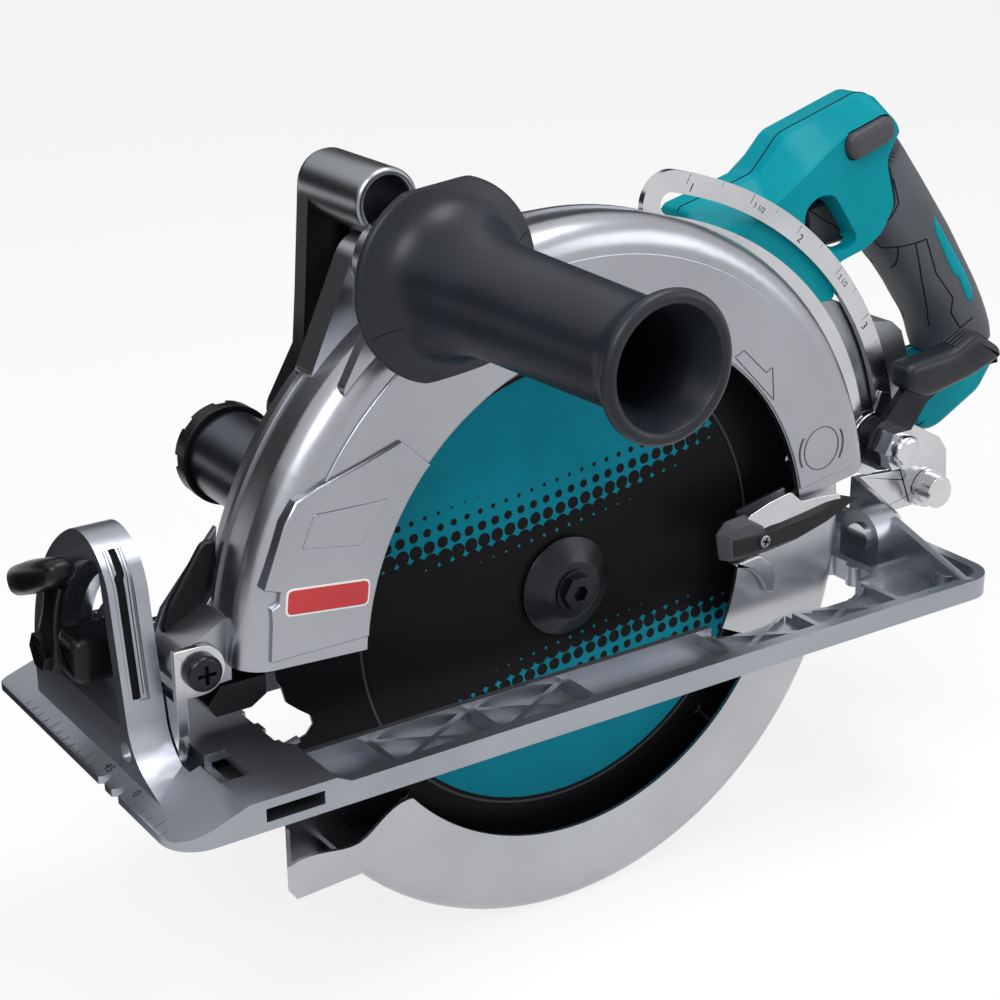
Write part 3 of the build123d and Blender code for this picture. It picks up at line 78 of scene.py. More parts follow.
# %% Camera
LENS_MM = 75.2
SENSOR_MM = 36.0
CLIP_END = 50.0
CAMERA_PLACE = Vector((442.1, 616.0, 364.8)) * MM
CAMERA_AZIMUTH = math.radians(146.17)
CAMERA_ELEVATION = math.radians(21.22)
CAMERA_ROLL = math.radians(-0.5)

out = math.cos(CAMERA_ELEVATION)
back = Vector((math.sin(CAMERA_AZIMUTH) * out, -math.cos(CAMERA_AZIMUTH) * out, math.sin(CAMERA_ELEVATION)))
camera = bpy.data.objects.new("camera", bpy.data.cameras.new("camera"))
scene.collection.objects.link(camera)
camera.data.lens = LENS_MM
camera.data.sensor_width = SENSOR_MM
camera.data.clip_end = CLIP_END
camera.rotation_mode = "QUATERNION"
turn = (-back).to_track_quat("-Z", "Y").to_matrix() @ Matrix.Rotation(CAMERA_ROLL, 3, "Z")
camera.rotation_quaternion = turn.to_quaternion()
camera.location = CAMERA_PLACE
bpy.context.scene.camera = camera
print("camera at", [round(v, 3) for v in camera.location])

# %% [markdown]
# Finishes are written as sRGB hex values, as a paint chart gives them, and one function turns them to
# the linear values that Blender works in. A second small function adds a shader node with its settings,
# and gives each socket either a value or the output that drives it. A third turns a real size into the
# scale of a pattern.

# %% Colour and node helpers
def linear(code):
    """An sRGB hex colour as linear red, green, blue and alpha."""
    parts = [int(code[i:i + 2], 16) / 255 for i in (1, 3, 5)]
    return [c / 12.92 if c <= 0.04045 else ((c + 0.055) / 1.055) ** 2.4 for c in parts] + [1.0]


def add(tree, kind, feed=None, **settings):
    """One shader node; feed gives a socket its value or the output that drives it."""
    made = tree.nodes.new(kind)
    for name, value in settings.items():
        setattr(made, name, value)
    for socket, source in (feed or {}).items():
        if isinstance(source, bpy.types.NodeSocket):
            tree.links.new(source, made.inputs[socket])
        else:
            made.inputs[socket].default_value = source
    return made


def per_metre(size_mm):
    """The texture scale that makes a pattern repeat about every size_mm."""
    return 1.0 / (size_mm * MM)


print("helpers ready")

# %% [markdown]
# Every real surface here has the same three layers: a colour that drifts a little over some centimetres,
# a fine grain left by the mould, the rolls or the blast, and a gloss that the grain breaks up. One recipe
# gives them all. A finish names its two colours and its roughness, then three sizes in millimetres: how
# far the colour drifts, how wide the grain is, and how deep. A grain finer than about half a millimetre is
# drawn that coarse, so that it shows at this picture size.

# %% Finish recipe
NOISE_DETAIL = 3.0
NOISE_SPAN = (0.3, 0.7)
BUMP_STRENGTH = 0.6


def finish(name, dark, light, rough, cloud_mm=35.0, grain_mm=0.6, depth_mm=0.012, stretch=(1.0, 1.0, 1.0),
           spread=0.05, **sockets):
    """A material whose colour drifts over cloud_mm, with a grain that breaks up its gloss."""
    material = bpy.data.materials.new(name)
    material.use_nodes = True
    tree = material.node_tree
    shader = tree.nodes["Principled BSDF"]
    for socket, value in sockets.items():
        shader.inputs[socket.replace("_", " ")].default_value = value
    place = add(tree, "ShaderNodeTexCoord").outputs["Object"]
    drawn = add(tree, "ShaderNodeMapping", {"Vector": place, "Scale": stretch}).outputs["Vector"]
    cloud = add(tree, "ShaderNodeTexNoise", {
        "Vector": place, "Scale": per_metre(cloud_mm), "Detail": NOISE_DETAIL}).outputs["Fac"]
    fine = add(tree, "ShaderNodeTexNoise", {
        "Vector": drawn, "Scale": per_metre(grain_mm), "Detail": NOISE_DETAIL}).outputs["Fac"]
    ramp = add(tree, "ShaderNodeValToRGB", {"Fac": cloud})
    for stop, position, colour in zip(ramp.color_ramp.elements, NOISE_SPAN, (dark, light)):
        stop.position = position
        stop.color = linear(colour)
    gloss = add(tree, "ShaderNodeMapRange", {
        "Value": fine, "From Min": NOISE_SPAN[0], "From Max": NOISE_SPAN[1],
        "To Min": rough - spread, "To Max": rough + spread})
    bump = add(tree, "ShaderNodeBump", {"Height": fine, "Distance": depth_mm * MM, "Strength": BUMP_STRENGTH})
    tree.links.new(ramp.outputs["Color"], shader.inputs["Base Color"])
    tree.links.new(gloss.outputs["Result"], shader.inputs["Roughness"])
    tree.links.new(bump.outputs["Normal"], shader.inputs["Normal"])
    return material


print("finish recipe ready")

# %% [markdown]
# The case, the base and the gear housing are die-cast magnesium under a silver lacquer. The casting's
# skin is slightly uneven and the lacquer carries fine metal flake, so the eye sees a satin metal with
# soft, broken highlights. The base is shot blasted and a shade darker than the case.

# %% Cast magnesium
case_lacquer = finish("silver_lacquered_magnesium", "#989AA0", "#A5A7AD", 0.30, 60.0, 0.5, 0.0003,
                      spread=0.010, Metallic=1.0)
base_casting = finish("blasted_magnesium_base", "#9498A0", "#A2A6AD", 0.38, 60.0, 0.5, 0.0015, spread=0.02,
                      Metallic=1.0)
housing_casting = finish("cast_gear_housing", "#85888E", "#95989D", 0.33, 60.0, 0.8, 0.004, spread=0.03,
                         Metallic=1.0)
print("cast magnesium in three shades")

# %% [markdown]
# The lower guard is drawn from aluminium sheet and tumbled, the depth guide is pressed steel with a
# zinc coat, and the nuts are bright nickel. The sleeve and the dust port are drawn tube. The port's colour
# is a darker copy of the tube metal: painted shade, for the dark that its side mirrors. Sheet and tube
# show a faint grain along the way they were rolled or drawn, so that noise is stretched. Bearings and
# shafts are ground, which leaves a fine even grain.

# %% Sheet metal and plating
guard_sheet = finish("tumbled_aluminium_sheet", "#A9ABAF", "#B5B7BB", 0.30, 40.0, 3.0, 0.0015,
                     (1.0, 1.0, 14.0), 0.02, Metallic=1.0)
zinc_plate = finish("zinc_plated_steel", "#B8B9BC", "#C8C9CC", 0.20, 30.0, 2.0, 0.0015,
                    (1.0, 1.0, 5.0), 0.02, Metallic=1.0)
drawn_tube = finish("satin_aluminium_tube", "#84878C", "#92959A", 0.30, 40.0, 2.0, 0.0015,
                    (1.0, 10.0, 1.0), 0.02, Metallic=1.0)
# The port's darker colour is painted shade, for the dark that the port's side mirrors.
port_shade_tube = finish("port_painted_shade_tube", "#50545C", "#5A5E66", 0.32, 40.0, 2.0, 0.0015,
                   (1.0, 10.0, 1.0), 0.02, Metallic=1.0)
nickel = finish("bright_nickel", "#BDBEC0", "#D0D1D3", 0.13, 20.0, 1.0, 0.0010, spread=0.02, Metallic=1.0)
ground_steel = finish("ground_tool_steel", "#77797D", "#8E9094", 0.28, 20.0, 1.0, 0.002, spread=0.03,
                      Metallic=1.0)
print("six sheet and plated metals")

# %% [markdown]
# Black oxide on steel is a thin, slightly oily film: dark, but with the sheen of the metal below.
# Carbide is a dense grey ceramic metal, ground on its faces. Enamelled copper wire and the green laminate
# of the board are inside the saw.

# %% Dark steels and inner materials
black_oxide = finish("black_oxide_steel", "#202125", "#2C2D32", 0.30, 12.0, 0.6, 0.008, Metallic=0.85)
carbide = finish("ground_carbide", "#5E6064", "#75777B", 0.32, 4.0, 0.5, 0.01, Metallic=1.0)
enamelled_copper = finish("enamelled_copper", "#7A3F1C", "#96532A", 0.35, 8.0, 1.2, 0.05, Metallic=0.8)
board_laminate = finish("board_laminate", "#123A22", "#1B4A2C", 0.40, 6.0, 1.0)
print("dark steels and inner materials")

# %% [markdown]
# The plastics are nylon, mostly glass filled, and acetal, moulded in sparked tools: a fine pebble with a
# soft gloss. The grips are a thermoplastic rubber, which is matt and picks up a little dust, so its colour
# varies and the overmould has a little sheen. Inks and enamels are thin printed films. Grooves and
# engraved lines look dark because little light gets into them, so they have shaded finishes of their own.

# %% Plastics, rubber and inks
teal_nylon = finish("teal_glass_filled_nylon", "#007F8C", "#008A97", 0.33, depth_mm=0.006, spread=0.03,
                    IOR=1.5, Specular_IOR_Level=0.06)
black_nylon = finish("black_glass_filled_nylon", "#0B0C0F", "#111215", 0.33, depth_mm=0.006, spread=0.03,
                     IOR=1.5, Specular_IOR_Level=0.22)
grey_acetal = finish("grey_acetal", "#3A3A3F", "#444449", 0.46, IOR=1.48, Specular_IOR_Level=0.3)
trigger_nylon = finish("charcoal_nylon", "#26272B", "#2E2F34", 0.42, IOR=1.5, Specular_IOR_Level=0.35)
side_rubber = finish("charcoal_rubber", "#171A20", "#20242B", 0.38, 30.0, 0.7, 0.006, spread=0.03,
                     IOR=1.5, Specular_IOR_Level=0.25)
grip_rubber = finish("grey_overmould_rubber", "#3D4046", "#484B52", 0.58, 30.0, 0.8, 0.03, IOR=1.5,
                     Specular_IOR_Level=0.3, Sheen_Weight=0.05, Sheen_Roughness=0.45)
groove_dark = finish("shaded_groove", "#08090A", "#0E0F11", 0.8, 6.0, 0.6, Specular_IOR_Level=0.1)
scale_ink = finish("black_scale_ink", "#141416", "#1D1D20", 0.5, 6.0, 0.6, 0.004, Specular_IOR_Level=0.3)
red_enamel = finish("red_badge_enamel", "#B01E22", "#BB2428", 0.30, 15.0, 0.6, 0.004, IOR=1.5)
white_enamel = finish("white_badge_enamel", "#DCDCDA", "#E6E6E4", 0.35, 15.0, 0.6, 0.004, IOR=1.5)
engraved = finish("shaded_engraving", "#47494D", "#54565A", 0.45, 10.0, 0.6, 0.004, Metallic=0.7)
print("plastics, rubber and inks")

# %% [markdown]
# The blade is a steel plate with a printed coat on its near side: teal inside, black near the teeth. The
# print here is a plain one of this file's own: a black bow across the middle, a halftone of round dots
# that shrink from the bow towards the rim, and a fine ring. It is worked out from the distance about the
# arbor and from a square grid on the blade, so it turns with the blade. The far side is bare steel.

# %% Printed blade coat
PRINT_R = 91.0 * MM
RING_GAP = 2.0 * MM
RING_HALF = 0.5 * MM
BOW_HALF = 21.0 * MM
BOW_SPREAD = 17.0 * MM
BOW_TILT = math.radians(-8.0)
DOT_PITCH = 6.0 * MM
DOTS_REACH = 30.0 * MM
DOT_SHARES = (0.68, 0.0)
BOW_BLACK = "#151416"
RIM_BLACK = "#0F1012"
RING_GREY = "#3C3E42"
BARE_STEEL = "#797B7F"
MATH = "ShaderNodeMath"
VECTOR_MATH = "ShaderNodeVectorMath"

blade_coat = finish("printed_blade_steel", "#006E80", "#007588", 0.34, 20.0, 0.8, 0.002, spread=0.03,
                    Specular_IOR_Level=0.05)
tree = blade_coat.node_tree
shader = tree.nodes["Principled BSDF"]
layers = shader.inputs["Base Color"].links[0].from_socket
arbor = Vector(joints["blade_spin"]["pos_m"])
place = add(tree, "ShaderNodeTexCoord").outputs["Object"]
centred = add(tree, "ShaderNodeMapping", {"Vector": place, "Location": -arbor}).outputs["Vector"]
flat = add(tree, "ShaderNodeMapping", {
    "Vector": centred, "Rotation": (0.0, BOW_TILT, 0.0), "Scale": (1, 0, 1)}).outputs["Vector"]
radius = add(tree, VECTOR_MATH, {0: flat}, operation="LENGTH").outputs["Value"]
axes = add(tree, "ShaderNodeSeparateXYZ", {0: flat}).outputs
depth = add(tree, "ShaderNodeSeparateXYZ", {0: centred}).outputs["Y"]
reach = add(tree, MATH, {0: axes["X"], 1: PRINT_R}, operation="DIVIDE").outputs[0]
bowed = add(tree, MATH, {0: reach, 1: reach}, operation="MULTIPLY").outputs[0]
bow = add(tree, MATH, {0: bowed, 1: BOW_SPREAD, 2: BOW_HALF}, operation="MULTIPLY_ADD").outputs[0]
across = add(tree, MATH, {0: axes["Z"]}, operation="ABSOLUTE").outputs[0]
in_bow = add(tree, MATH, {0: across, 1: bow}, operation="LESS_THAN").outputs[0]
grid = add(tree, VECTOR_MATH, {0: flat, 1: (DOT_PITCH,) * 3}, operation="DIVIDE").outputs[0]
grid = add(tree, VECTOR_MATH, {0: grid}, operation="FRACTION").outputs[0]
grid = add(tree, VECTOR_MATH, {0: grid, 1: (0.5, 0.0, 0.5)}, operation="SUBTRACT").outputs[0]
from_dot = add(tree, VECTOR_MATH, {0: grid}, operation="LENGTH").outputs["Value"]
past_bow = add(tree, MATH, {0: across, 1: bow}, operation="SUBTRACT").outputs[0]
dot_size = add(tree, "ShaderNodeMapRange", {
    "Value": past_bow, "From Min": 0.0, "From Max": DOTS_REACH,
    "To Min": DOT_SHARES[0], "To Max": DOT_SHARES[1]}).outputs["Result"]
dot = add(tree, MATH, {0: from_dot, 1: dot_size}, operation="LESS_THAN").outputs[0]
outside = add(tree, MATH, {0: radius, 1: PRINT_R}, operation="GREATER_THAN").outputs[0]
ring = add(tree, MATH, {0: radius, 1: PRINT_R + RING_GAP, 2: RING_HALF}, operation="COMPARE").outputs[0]
near = add(tree, MATH, {0: depth, 1: 0.0}, operation="GREATER_THAN").outputs[0]
for share, colour in ((dot, BOW_BLACK), (in_bow, BOW_BLACK), (outside, RIM_BLACK), (ring, RING_GREY)):
    mixed = add(tree, "ShaderNodeMix", {"Factor": share, 6: layers, 7: linear(colour)}, data_type="RGBA")
    layers = mixed.outputs[2]
bare = add(tree, "ShaderNodeMix", {"Factor": near, 6: linear(BARE_STEEL), 7: layers}, data_type="RGBA")
tree.links.new(bare.outputs[2], shader.inputs["Base Color"])
print("blade print of radius", PRINT_R / MM, "mm")

# %% [markdown]
# The CAD meshes have sharp edges, and real castings and pressings don't. Each node keeps its own mesh
# and gets modifiers: a weld, because the tessellation splits its corners, and a small bevel of the size
# that the process leaves, with normals weighted to the large faces.

# %% Dress the CAD nodes
WELD_MM = 0.004
DRESS = (
    (case_lacquer, 0.7, "blade_case case_back"),
    (base_casting, 1.0, "base_shoe"),
    (housing_casting, 0.9, "gear_housing bearing_box"),
    (guard_sheet, 0.5, "lower_guard"),
    (drawn_tube, 0.6, "top_sleeve"),
    # The dust port's darker finish is painted shade.
    (port_shade_tube, 0.6, "dust_port"),
    (zinc_plate, 0.35, "front_bevel_bracket rear_bevel_bracket depth_guide depth_pointer"),
    (nickel, 0.3, "bevel_pins guide_pin depth_clamp_nut depth_clamp_bolt depth_pivot_nut grip_stud"),
    (black_oxide, 0.3, "outer_flange inner_flange blade_bolt depth_pivot_screw lever_screw handle_screws"),
    (black_oxide, 0.3, "guard_ring depth_lever bevel_clamp_nut bevel_clamp_bolt"),
    (ground_steel, 0.15, "spindle spindle_bearings motor_bearings rotor_shaft guard_spring drive_gear"),
    (ground_steel, 0.15, "rotor_core stator_core"),
    (enamelled_copper, 0.8, "stator_windings"),
    (board_laminate, 0.2, "controller_board"),
    (blade_coat, 0.08, "blade"),
    (carbide, 0.08, "carbide_tips"),
    (teal_nylon, 0.8, "handle_left handle_right motor_housing battery_dock"),
    (black_nylon, 0.7, "bevel_lever bevel_stop_knob guard_lever front_deflector dust_port_ring cooling_fan"),
    (black_nylon, 0.7, "switch_unit terminal_block motor_end_cover shaft_lock trigger rear_arm"),
    (grey_acetal, 1.0, "lock_off_button"),
    (side_rubber, 0.5, "side_grip"),
    (grip_rubber, 0.6, "rear_grip_rubber depth_lever_grip"),
)


def soften(piece, edge_mm, angle=32.0):
    """Rounds the sharp edges of a mesh by edge_mm and smooths the rest."""
    for polygon in piece.data.polygons:
        polygon.use_smooth = True
    weld = piece.modifiers.new("weld", "WELD")
    weld.merge_threshold = WELD_MM * MM
    bevel = piece.modifiers.new("edges", "BEVEL")
    bevel.width = edge_mm * MM
    bevel.segments = 2
    bevel.limit_method = "ANGLE"
    bevel.angle_limit = math.radians(angle)
    piece.modifiers.new("normals", "WEIGHTED_NORMAL")


for material, edge_mm, names in DRESS:
    for name in names.split():
        nodes[name].data.materials.clear()
        nodes[name].data.materials.append(material)
        soften(nodes[name], edge_mm)
print("dressed", sum(1 for n in nodes.values() if n.modifiers), "nodes")

# %% [markdown]
# Moulded parts have no flat steps, so they are built here as meshes of their own. A few small makers do
# most of it: an outline with rounded corners, a stack of such outlines joined by a skin, and a cut with a
# block. Sizes are in millimetres, as on a drawing, and turned to metres once.

# %% Mesh makers
DOUBLE_MM = 0.002
PLANES = {
    "side": lambda p, depth: (p[0], depth, p[1]),
    "front": lambda p, depth: (depth, p[0], p[1]),
    "top": lambda p, depth: (p[0], p[1], depth),
}


def mesh_from(name, points, faces):
    """A mesh from points in millimetres, with its faces turned outwards."""
    mesh = bpy.data.meshes.new(name)
    mesh.from_pydata([Vector(p) * MM for p in points], [], faces)
    shell = bmesh.new()
    shell.from_mesh(mesh)
    bmesh.ops.remove_doubles(shell, verts=shell.verts, dist=DOUBLE_MM * MM)
    bmesh.ops.recalc_face_normals(shell, faces=shell.faces)
    shell.to_mesh(mesh)
    shell.free()
    return mesh


def settle(name, mesh, material, body, smooth=True):
    """A piece for a mesh, with its finish, riding on a body."""
    piece = bpy.data.objects.new(name, mesh)
    scene.collection.objects.link(piece)
    mesh.materials.clear()
    mesh.materials.append(material)
    if smooth:
        mesh.polygons.foreach_set("use_smooth", [True] * len(mesh.polygons))
    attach(piece, body)
    return piece


def piece_from(name, points, faces, material, body, slot, edge_mm=0.0):
    """A piece from points in millimetres, with its edges eased by edge_mm."""
    piece = settle(name, mesh_from(name, points, faces), material, body)
    if edge_mm:
        soften(piece, edge_mm)
    return piece


def rounded(points, radius, steps=4):
    """A closed outline whose corners are eased by the radius."""
    eased = []
    for index, point in enumerate(points):
        here = Vector(point)
        before = Vector(points[index - 1]) - here
        after = Vector(points[(index + 1) % len(points)]) - here
        start = here + before.normalized() * min(radius, 0.45 * before.length)
        stop = here + after.normalized() * min(radius, 0.45 * after.length)
        for step in range(steps + 1):
            t = step / steps
            eased.append((1 - t) ** 2 * start + 2 * t * (1 - t) * here + t * t * stop)
    return eased


def shrink(outline, inset):
    """An outline drawn in by an inset along its own normals."""
    area = sum(a[0] * b[1] - b[0] * a[1] for a, b in zip(outline, outline[1:] + outline[:1]))
    turn_way = 1 if area > 0 else -1
    drawn = []
    for index, point in enumerate(outline):
        before = Vector(point) - Vector(outline[index - 1])
        after = Vector(outline[(index + 1) % len(outline)]) - Vector(point)
        tangent = (before.normalized() + after.normalized()).normalized()
        drawn.append(Vector(point) + Vector((-tangent.y, tangent.x)) * inset * turn_way)
    return drawn


def skin(layers, closed_ends=True):
    """Points and faces that join layers, each layer a closed ring of the same count."""
    count = len(layers[0])
    points = [p for layer in layers for p in layer]
    faces = []
    for level in range(len(layers) - 1):
        for i in range(count):
            j = (i + 1) % count
            low = level * count
            faces.append((low + i, low + j, low + count + j, low + count + i))
    if closed_ends:
        faces.append(tuple(range(count))[::-1])
        faces.append(tuple(range(len(points) - count, len(points))))
    return points, faces


def stack(name, outlines, depths, plane, material, body, slot, edge_mm=0.0):
    """Outlines drawn in one plane, set at depths across it and joined by a skin."""
    layers = [[PLANES[plane](p, d) for p in outline] for outline, d in zip(outlines, depths)]
    return piece_from(name, *skin(layers), material, body, slot, edge_mm)


def crowned(name, ring, crown, base, plane, material, body, slot, edge_mm=0.0):
    """One outline stacked from a base; the crown pairs each depth with the inset of the outline there."""
    outlines = [shrink(ring, inset) for _, inset in crown]
    depths = [base + depth for depth, _ in crown]
    return stack(name, outlines, depths, plane, material, body, slot, edge_mm)


def finished_mesh(piece):
    """A copy of a piece's mesh with its modifiers worked out."""
    graph = bpy.context.evaluated_depsgraph_get()
    return bpy.data.meshes.new_from_object(piece.evaluated_get(graph))


def apply_modifiers(piece):
    """Turns a piece's modifiers into its own mesh."""
    bpy.context.view_layer.update()
    mesh = finished_mesh(piece)
    piece.modifiers.clear()
    old = piece.data
    piece.data = mesh
    bpy.data.meshes.remove(old)


def cut(piece, outline, depths):
    """Cuts a piece with a block of an outline, set between two depths across the saw."""
    points, faces = skin([[PLANES["side"](p, d) for p in outline] for d in depths])
    block = bpy.data.objects.new("block", mesh_from("block", points, faces))
    scene.collection.objects.link(block)
    knife = piece.modifiers.new("cut", "BOOLEAN")
    knife.object = block
    knife.operation = "DIFFERENCE"
    apply_modifiers(piece)
    bpy.data.objects.remove(block)


print("mesh makers ready")

# %% [markdown]
# Raised and engraved lines follow the surface below them. Each point of a line or patch is dropped onto
# the surface along a direction, like a decal being pressed on, so that it lies right at any curve.

# %% Surface followers
FROM_NEAR = (0, -1, 0)
FROM_FAR = (0, 1, 0)
FROM_ABOVE = (0, 0, -1)
START_MM = {FROM_NEAR: 60.0, FROM_FAR: 60.0, FROM_ABOVE: 200.0}


def surface_of(*pieces):
    """A searchable copy of finished surfaces, modifiers included."""
    joined = bmesh.new()
    for piece in pieces:
        mesh = finished_mesh(piece)
        mesh.transform(piece.matrix_world)
        joined.from_mesh(mesh)
        bpy.data.meshes.remove(mesh)
    tree = BVHTree.FromBMesh(joined)
    joined.free()
    return tree


def drop(tree, point, way=FROM_NEAR):
    """The place, and its normal, where a point that moves along a way first meets a surface."""
    origin = Vector(point) * MM - Vector(way) * START_MM[way] * MM
    place, normal, _, _ = tree.ray_cast(origin, Vector(way))
    return place, normal


def spaced(points, gap_mm, closed=False):
    """Points along a path no further apart than the gap."""
    path = list(points) + ([points[0]] if closed else [])
    dense = []
    for one, two in zip(path, path[1:]):
        one, two = Vector(one), Vector(two)
        parts = max(1, math.ceil((two - one).length / gap_mm))
        dense += [one.lerp(two, i / parts) for i in range(parts)]
    return dense if closed else dense + [Vector(path[-1])]


def curve_mesh(curve):
    """The mesh of a curve or of text, whose own object is then thrown away."""
    holder = bpy.data.objects.new(curve.name, curve)
    scene.collection.objects.link(holder)
    mesh = finished_mesh(holder)
    bpy.data.objects.remove(holder)
    return mesh


def tube(name, path, radius_mm, material, body, closed=False):
    """A round bead along points in metres."""
    curve = bpy.data.curves.new(name, "CURVE")
    curve.dimensions = "3D"
    curve.bevel_depth = radius_mm * MM
    curve.bevel_resolution = 2
    curve.use_fill_caps = True
    line = curve.splines.new("POLY")
    line.points.add(len(path) - 1)
    line.use_cyclic_u = closed
    for point, place in zip(line.points, path):
        point.co = (*place, 1.0)
    return settle(name, curve_mesh(curve), material, body)


def line_on(name, tree, points, radius_mm, material, body, slot, way=FROM_NEAR, level=0.0, closed=False,
            gap_mm=1.5, sink_mm=0.0):
    """A bead or groove line pressed onto a surface, and into it by sink_mm."""
    plane = "top" if way == FROM_ABOVE else "side"
    path = []
    for point in spaced(points, gap_mm, closed):
        place, normal = drop(tree, PLANES[plane](point, level), way)
        if place is not None:
            path.append(place - normal * sink_mm * MM)
    return tube(name, path, radius_mm, material, body, closed)


print("surface followers ready")

# %% [markdown]
# The rear handle is two nylon half shells screwed together on the handle's middle plane. The side
# outline is drawn twice, once at the parting line and once at the flat side, and the skin between them
# is the wide sloped shoulder along the top. The far half keeps a flatter top, and a fine dark line shows
# where the halves meet.

# %% Handle shells
TEAL_SHELL = (teal_nylon, "saw_body", "teal_plastic")
HANDLE_Y = -45.0
SHELL_HALF = 19.0
PARTING_GAP = 0.12
SHELL_MIDDLE = [
    (-90, 118.4), (-90, 165), (-112, 170), (-129, 174.4), (-143, 189.6), (-158, 194), (-172, 198.2),
    (-186, 202.4), (-193, 201), (-200, 194), (-201, 185), (-195, 184), (-192, 174.5), (-197, 155.5),
    (-192, 146), (-183, 136.5), (-165, 131), (-163, 118.4)]
SHELL_SIDE = [
    (-92, 118.4), (-92, 152), (-112, 157), (-124, 163), (-145, 176), (-155.8, 183.4), (-167.5, 190.4),
    (-185, 196), (-189, 195.4), (-193.5, 191), (-195.5, 187), (-193.8, 185), (-188.8, 175.5), (-194.8, 156),
    (-189, 144.5), (-180, 138.6), (-164, 134.5), (-162, 118.4)]
NEAR_SHOULDER = ((PARTING_GAP, 0.0), (0.6, 0.005), (4.5, 0.06), (17.6, 0.93), (SHELL_HALF, 1.0))
FAR_SHOULDER = ((PARTING_GAP, 0.0), (0.6, 0.0), (10.5, 0.03), (17.2, 0.62), (SHELL_HALF, 1.0))
POCKET = [(-143.5, 139.5), (-143.5, 160), (-150, 165), (-159.5, 165), (-174.5, 144), (-171, 139.5)]
POCKET_SPAN = (HANDLE_Y - 12.5, HANDLE_Y + 30)
FINGER_SLOT = [(-183, 125), (-183, 143), (-166, 143), (-166, 125)]
FINGER_SPAN = (HANDLE_Y - 11, HANDLE_Y + 11)
BUTTON_AT = (-177.5, 186.8)
BUTTON_TURN = -17.5
BUTTON_WELL = (27.4, 13.0, 6.2)
BUTTON_WELL_SPAN = (HANDLE_Y + 4, HANDLE_Y + 30)


def between(one, two, share):
    """An outline part of the way from one outline to another."""
    return [Vector(a).lerp(Vector(b), share) for a, b in zip(one, two)]


def pill(centre, length, width, radius, turn_deg):
    """A rectangle with rounded ends, turned about its centre."""
    half_l, half_w = length / 2, width / 2
    corners = [(-half_l, -half_w), (half_l, -half_w), (half_l, half_w), (-half_l, half_w)]
    spin = Matrix.Rotation(math.radians(turn_deg), 2)
    return [spin @ p + Vector(centre) for p in rounded(corners, radius, 5)]


def handle_shell(name, node, way, shoulder):
    """One half of the handle; way is 1 for the near half and -1 for the far half."""
    middle, face = rounded(SHELL_MIDDLE, 3.0), rounded(SHELL_SIDE, 3.0)
    outlines = [between(middle, face, share) for _, share in shoulder]
    depths = [HANDLE_Y + way * depth for depth, _ in shoulder]
    shell = stack(name, outlines, depths, "side", *TEAL_SHELL)
    cut(shell, rounded(POCKET, 4.0), POCKET_SPAN)
    cut(shell, FINGER_SLOT, FINGER_SPAN)
    if way > 0:
        cut(shell, pill(BUTTON_AT, *BUTTON_WELL, BUTTON_TURN), BUTTON_WELL_SPAN)
    soften(shell, 0.7, 24.0)
    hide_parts(node)
    return shell


near_shell = handle_shell("handle_shell_near", "handle_left", 1, NEAR_SHOULDER)
far_shell = handle_shell("handle_shell_far", "handle_right", -1, FAR_SHOULDER)
ridge = [p for p in rounded(SHELL_MIDDLE, 3.0) if p.y > 163.0 and p.x > -196.0]
parting = [Vector(PLANES["side"](p, HANDLE_Y)) * MM for p in ridge]
tube("handle_parting_line", parting, 0.3, groove_dark, "saw_body")
print("handle shells", len(near_shell.data.vertices), "points in the near half")

# %% [markdown]
# Below the grip the shells end in a teal heel that carries the grip to the motor housing. It is a plain
# block with softly crowned sides.

# %% Handle heel
HEEL_HALF = 18.0
HEEL = [(-213.5, 44), (-213.5, 76), (-273, 76), (-260, 57), (-233, 43)]
HEEL_CROWN = ((PARTING_GAP, 0.0), (9.0, 0.4), (14.5, 1.6), (17.0, 3.4), (HEEL_HALF, 5.5))
for side, way in (("near", 1), ("far", -1)):
    crown = [(way * depth, inset) for depth, inset in HEEL_CROWN]
    crowned(f"handle_heel_{side}", rounded(HEEL, 4.0), crown, HANDLE_Y, "side", *TEAL_SHELL, 0.5)
print("heel halves of", 2 * HEEL_HALF, "mm")

# %% [markdown]
# The grip is overmoulded with rubber. Its sections are rounded blocks that swell towards the palm and
# turn along the grip, so it is lofted through sections on lines across the grip, and then cut back
# where it meets the shells, which leaves the narrow groove between the two materials.

# %% Rubber grip
GRIP_LINES = [
    ((-178, 158), (-203, 187)), ((-180, 152), (-206, 181)), ((-191, 140), (-218, 167)),
    ((-204, 127), (-230, 151)), ((-212.5, 117), (-239, 140)), ((-220.5, 107.5), (-247, 127.5)),
    ((-227, 99), (-256, 115)), ((-232, 92), (-263, 103.5)), ((-236, 82), (-270, 90)),
    ((-239, 71), (-274, 76.5))]
GRIP_HALF = 17.5
GRIP_POINTS = 56
GRIP_FOOT = [(-290, 60), (-200, 60), (-200, 76.4), (-290, 76.4)]
GRIP_SPAN = (HANDLE_Y - 30, HANDLE_Y + 30)


def section(centre, reach_u, reach_v, power=2.7, count=40):
    """A rounded block section spanned by two half sizes."""
    ring = []
    for step in range(count):
        angle = math.tau * step / count
        c, s = math.cos(angle), math.sin(angle)
        u = math.copysign(abs(c) ** (2 / power), c)
        v = math.copysign(abs(s) ** (2 / power), s)
        ring.append(Vector(centre) + Vector(reach_u) * u + Vector(reach_v) * v)
    return ring


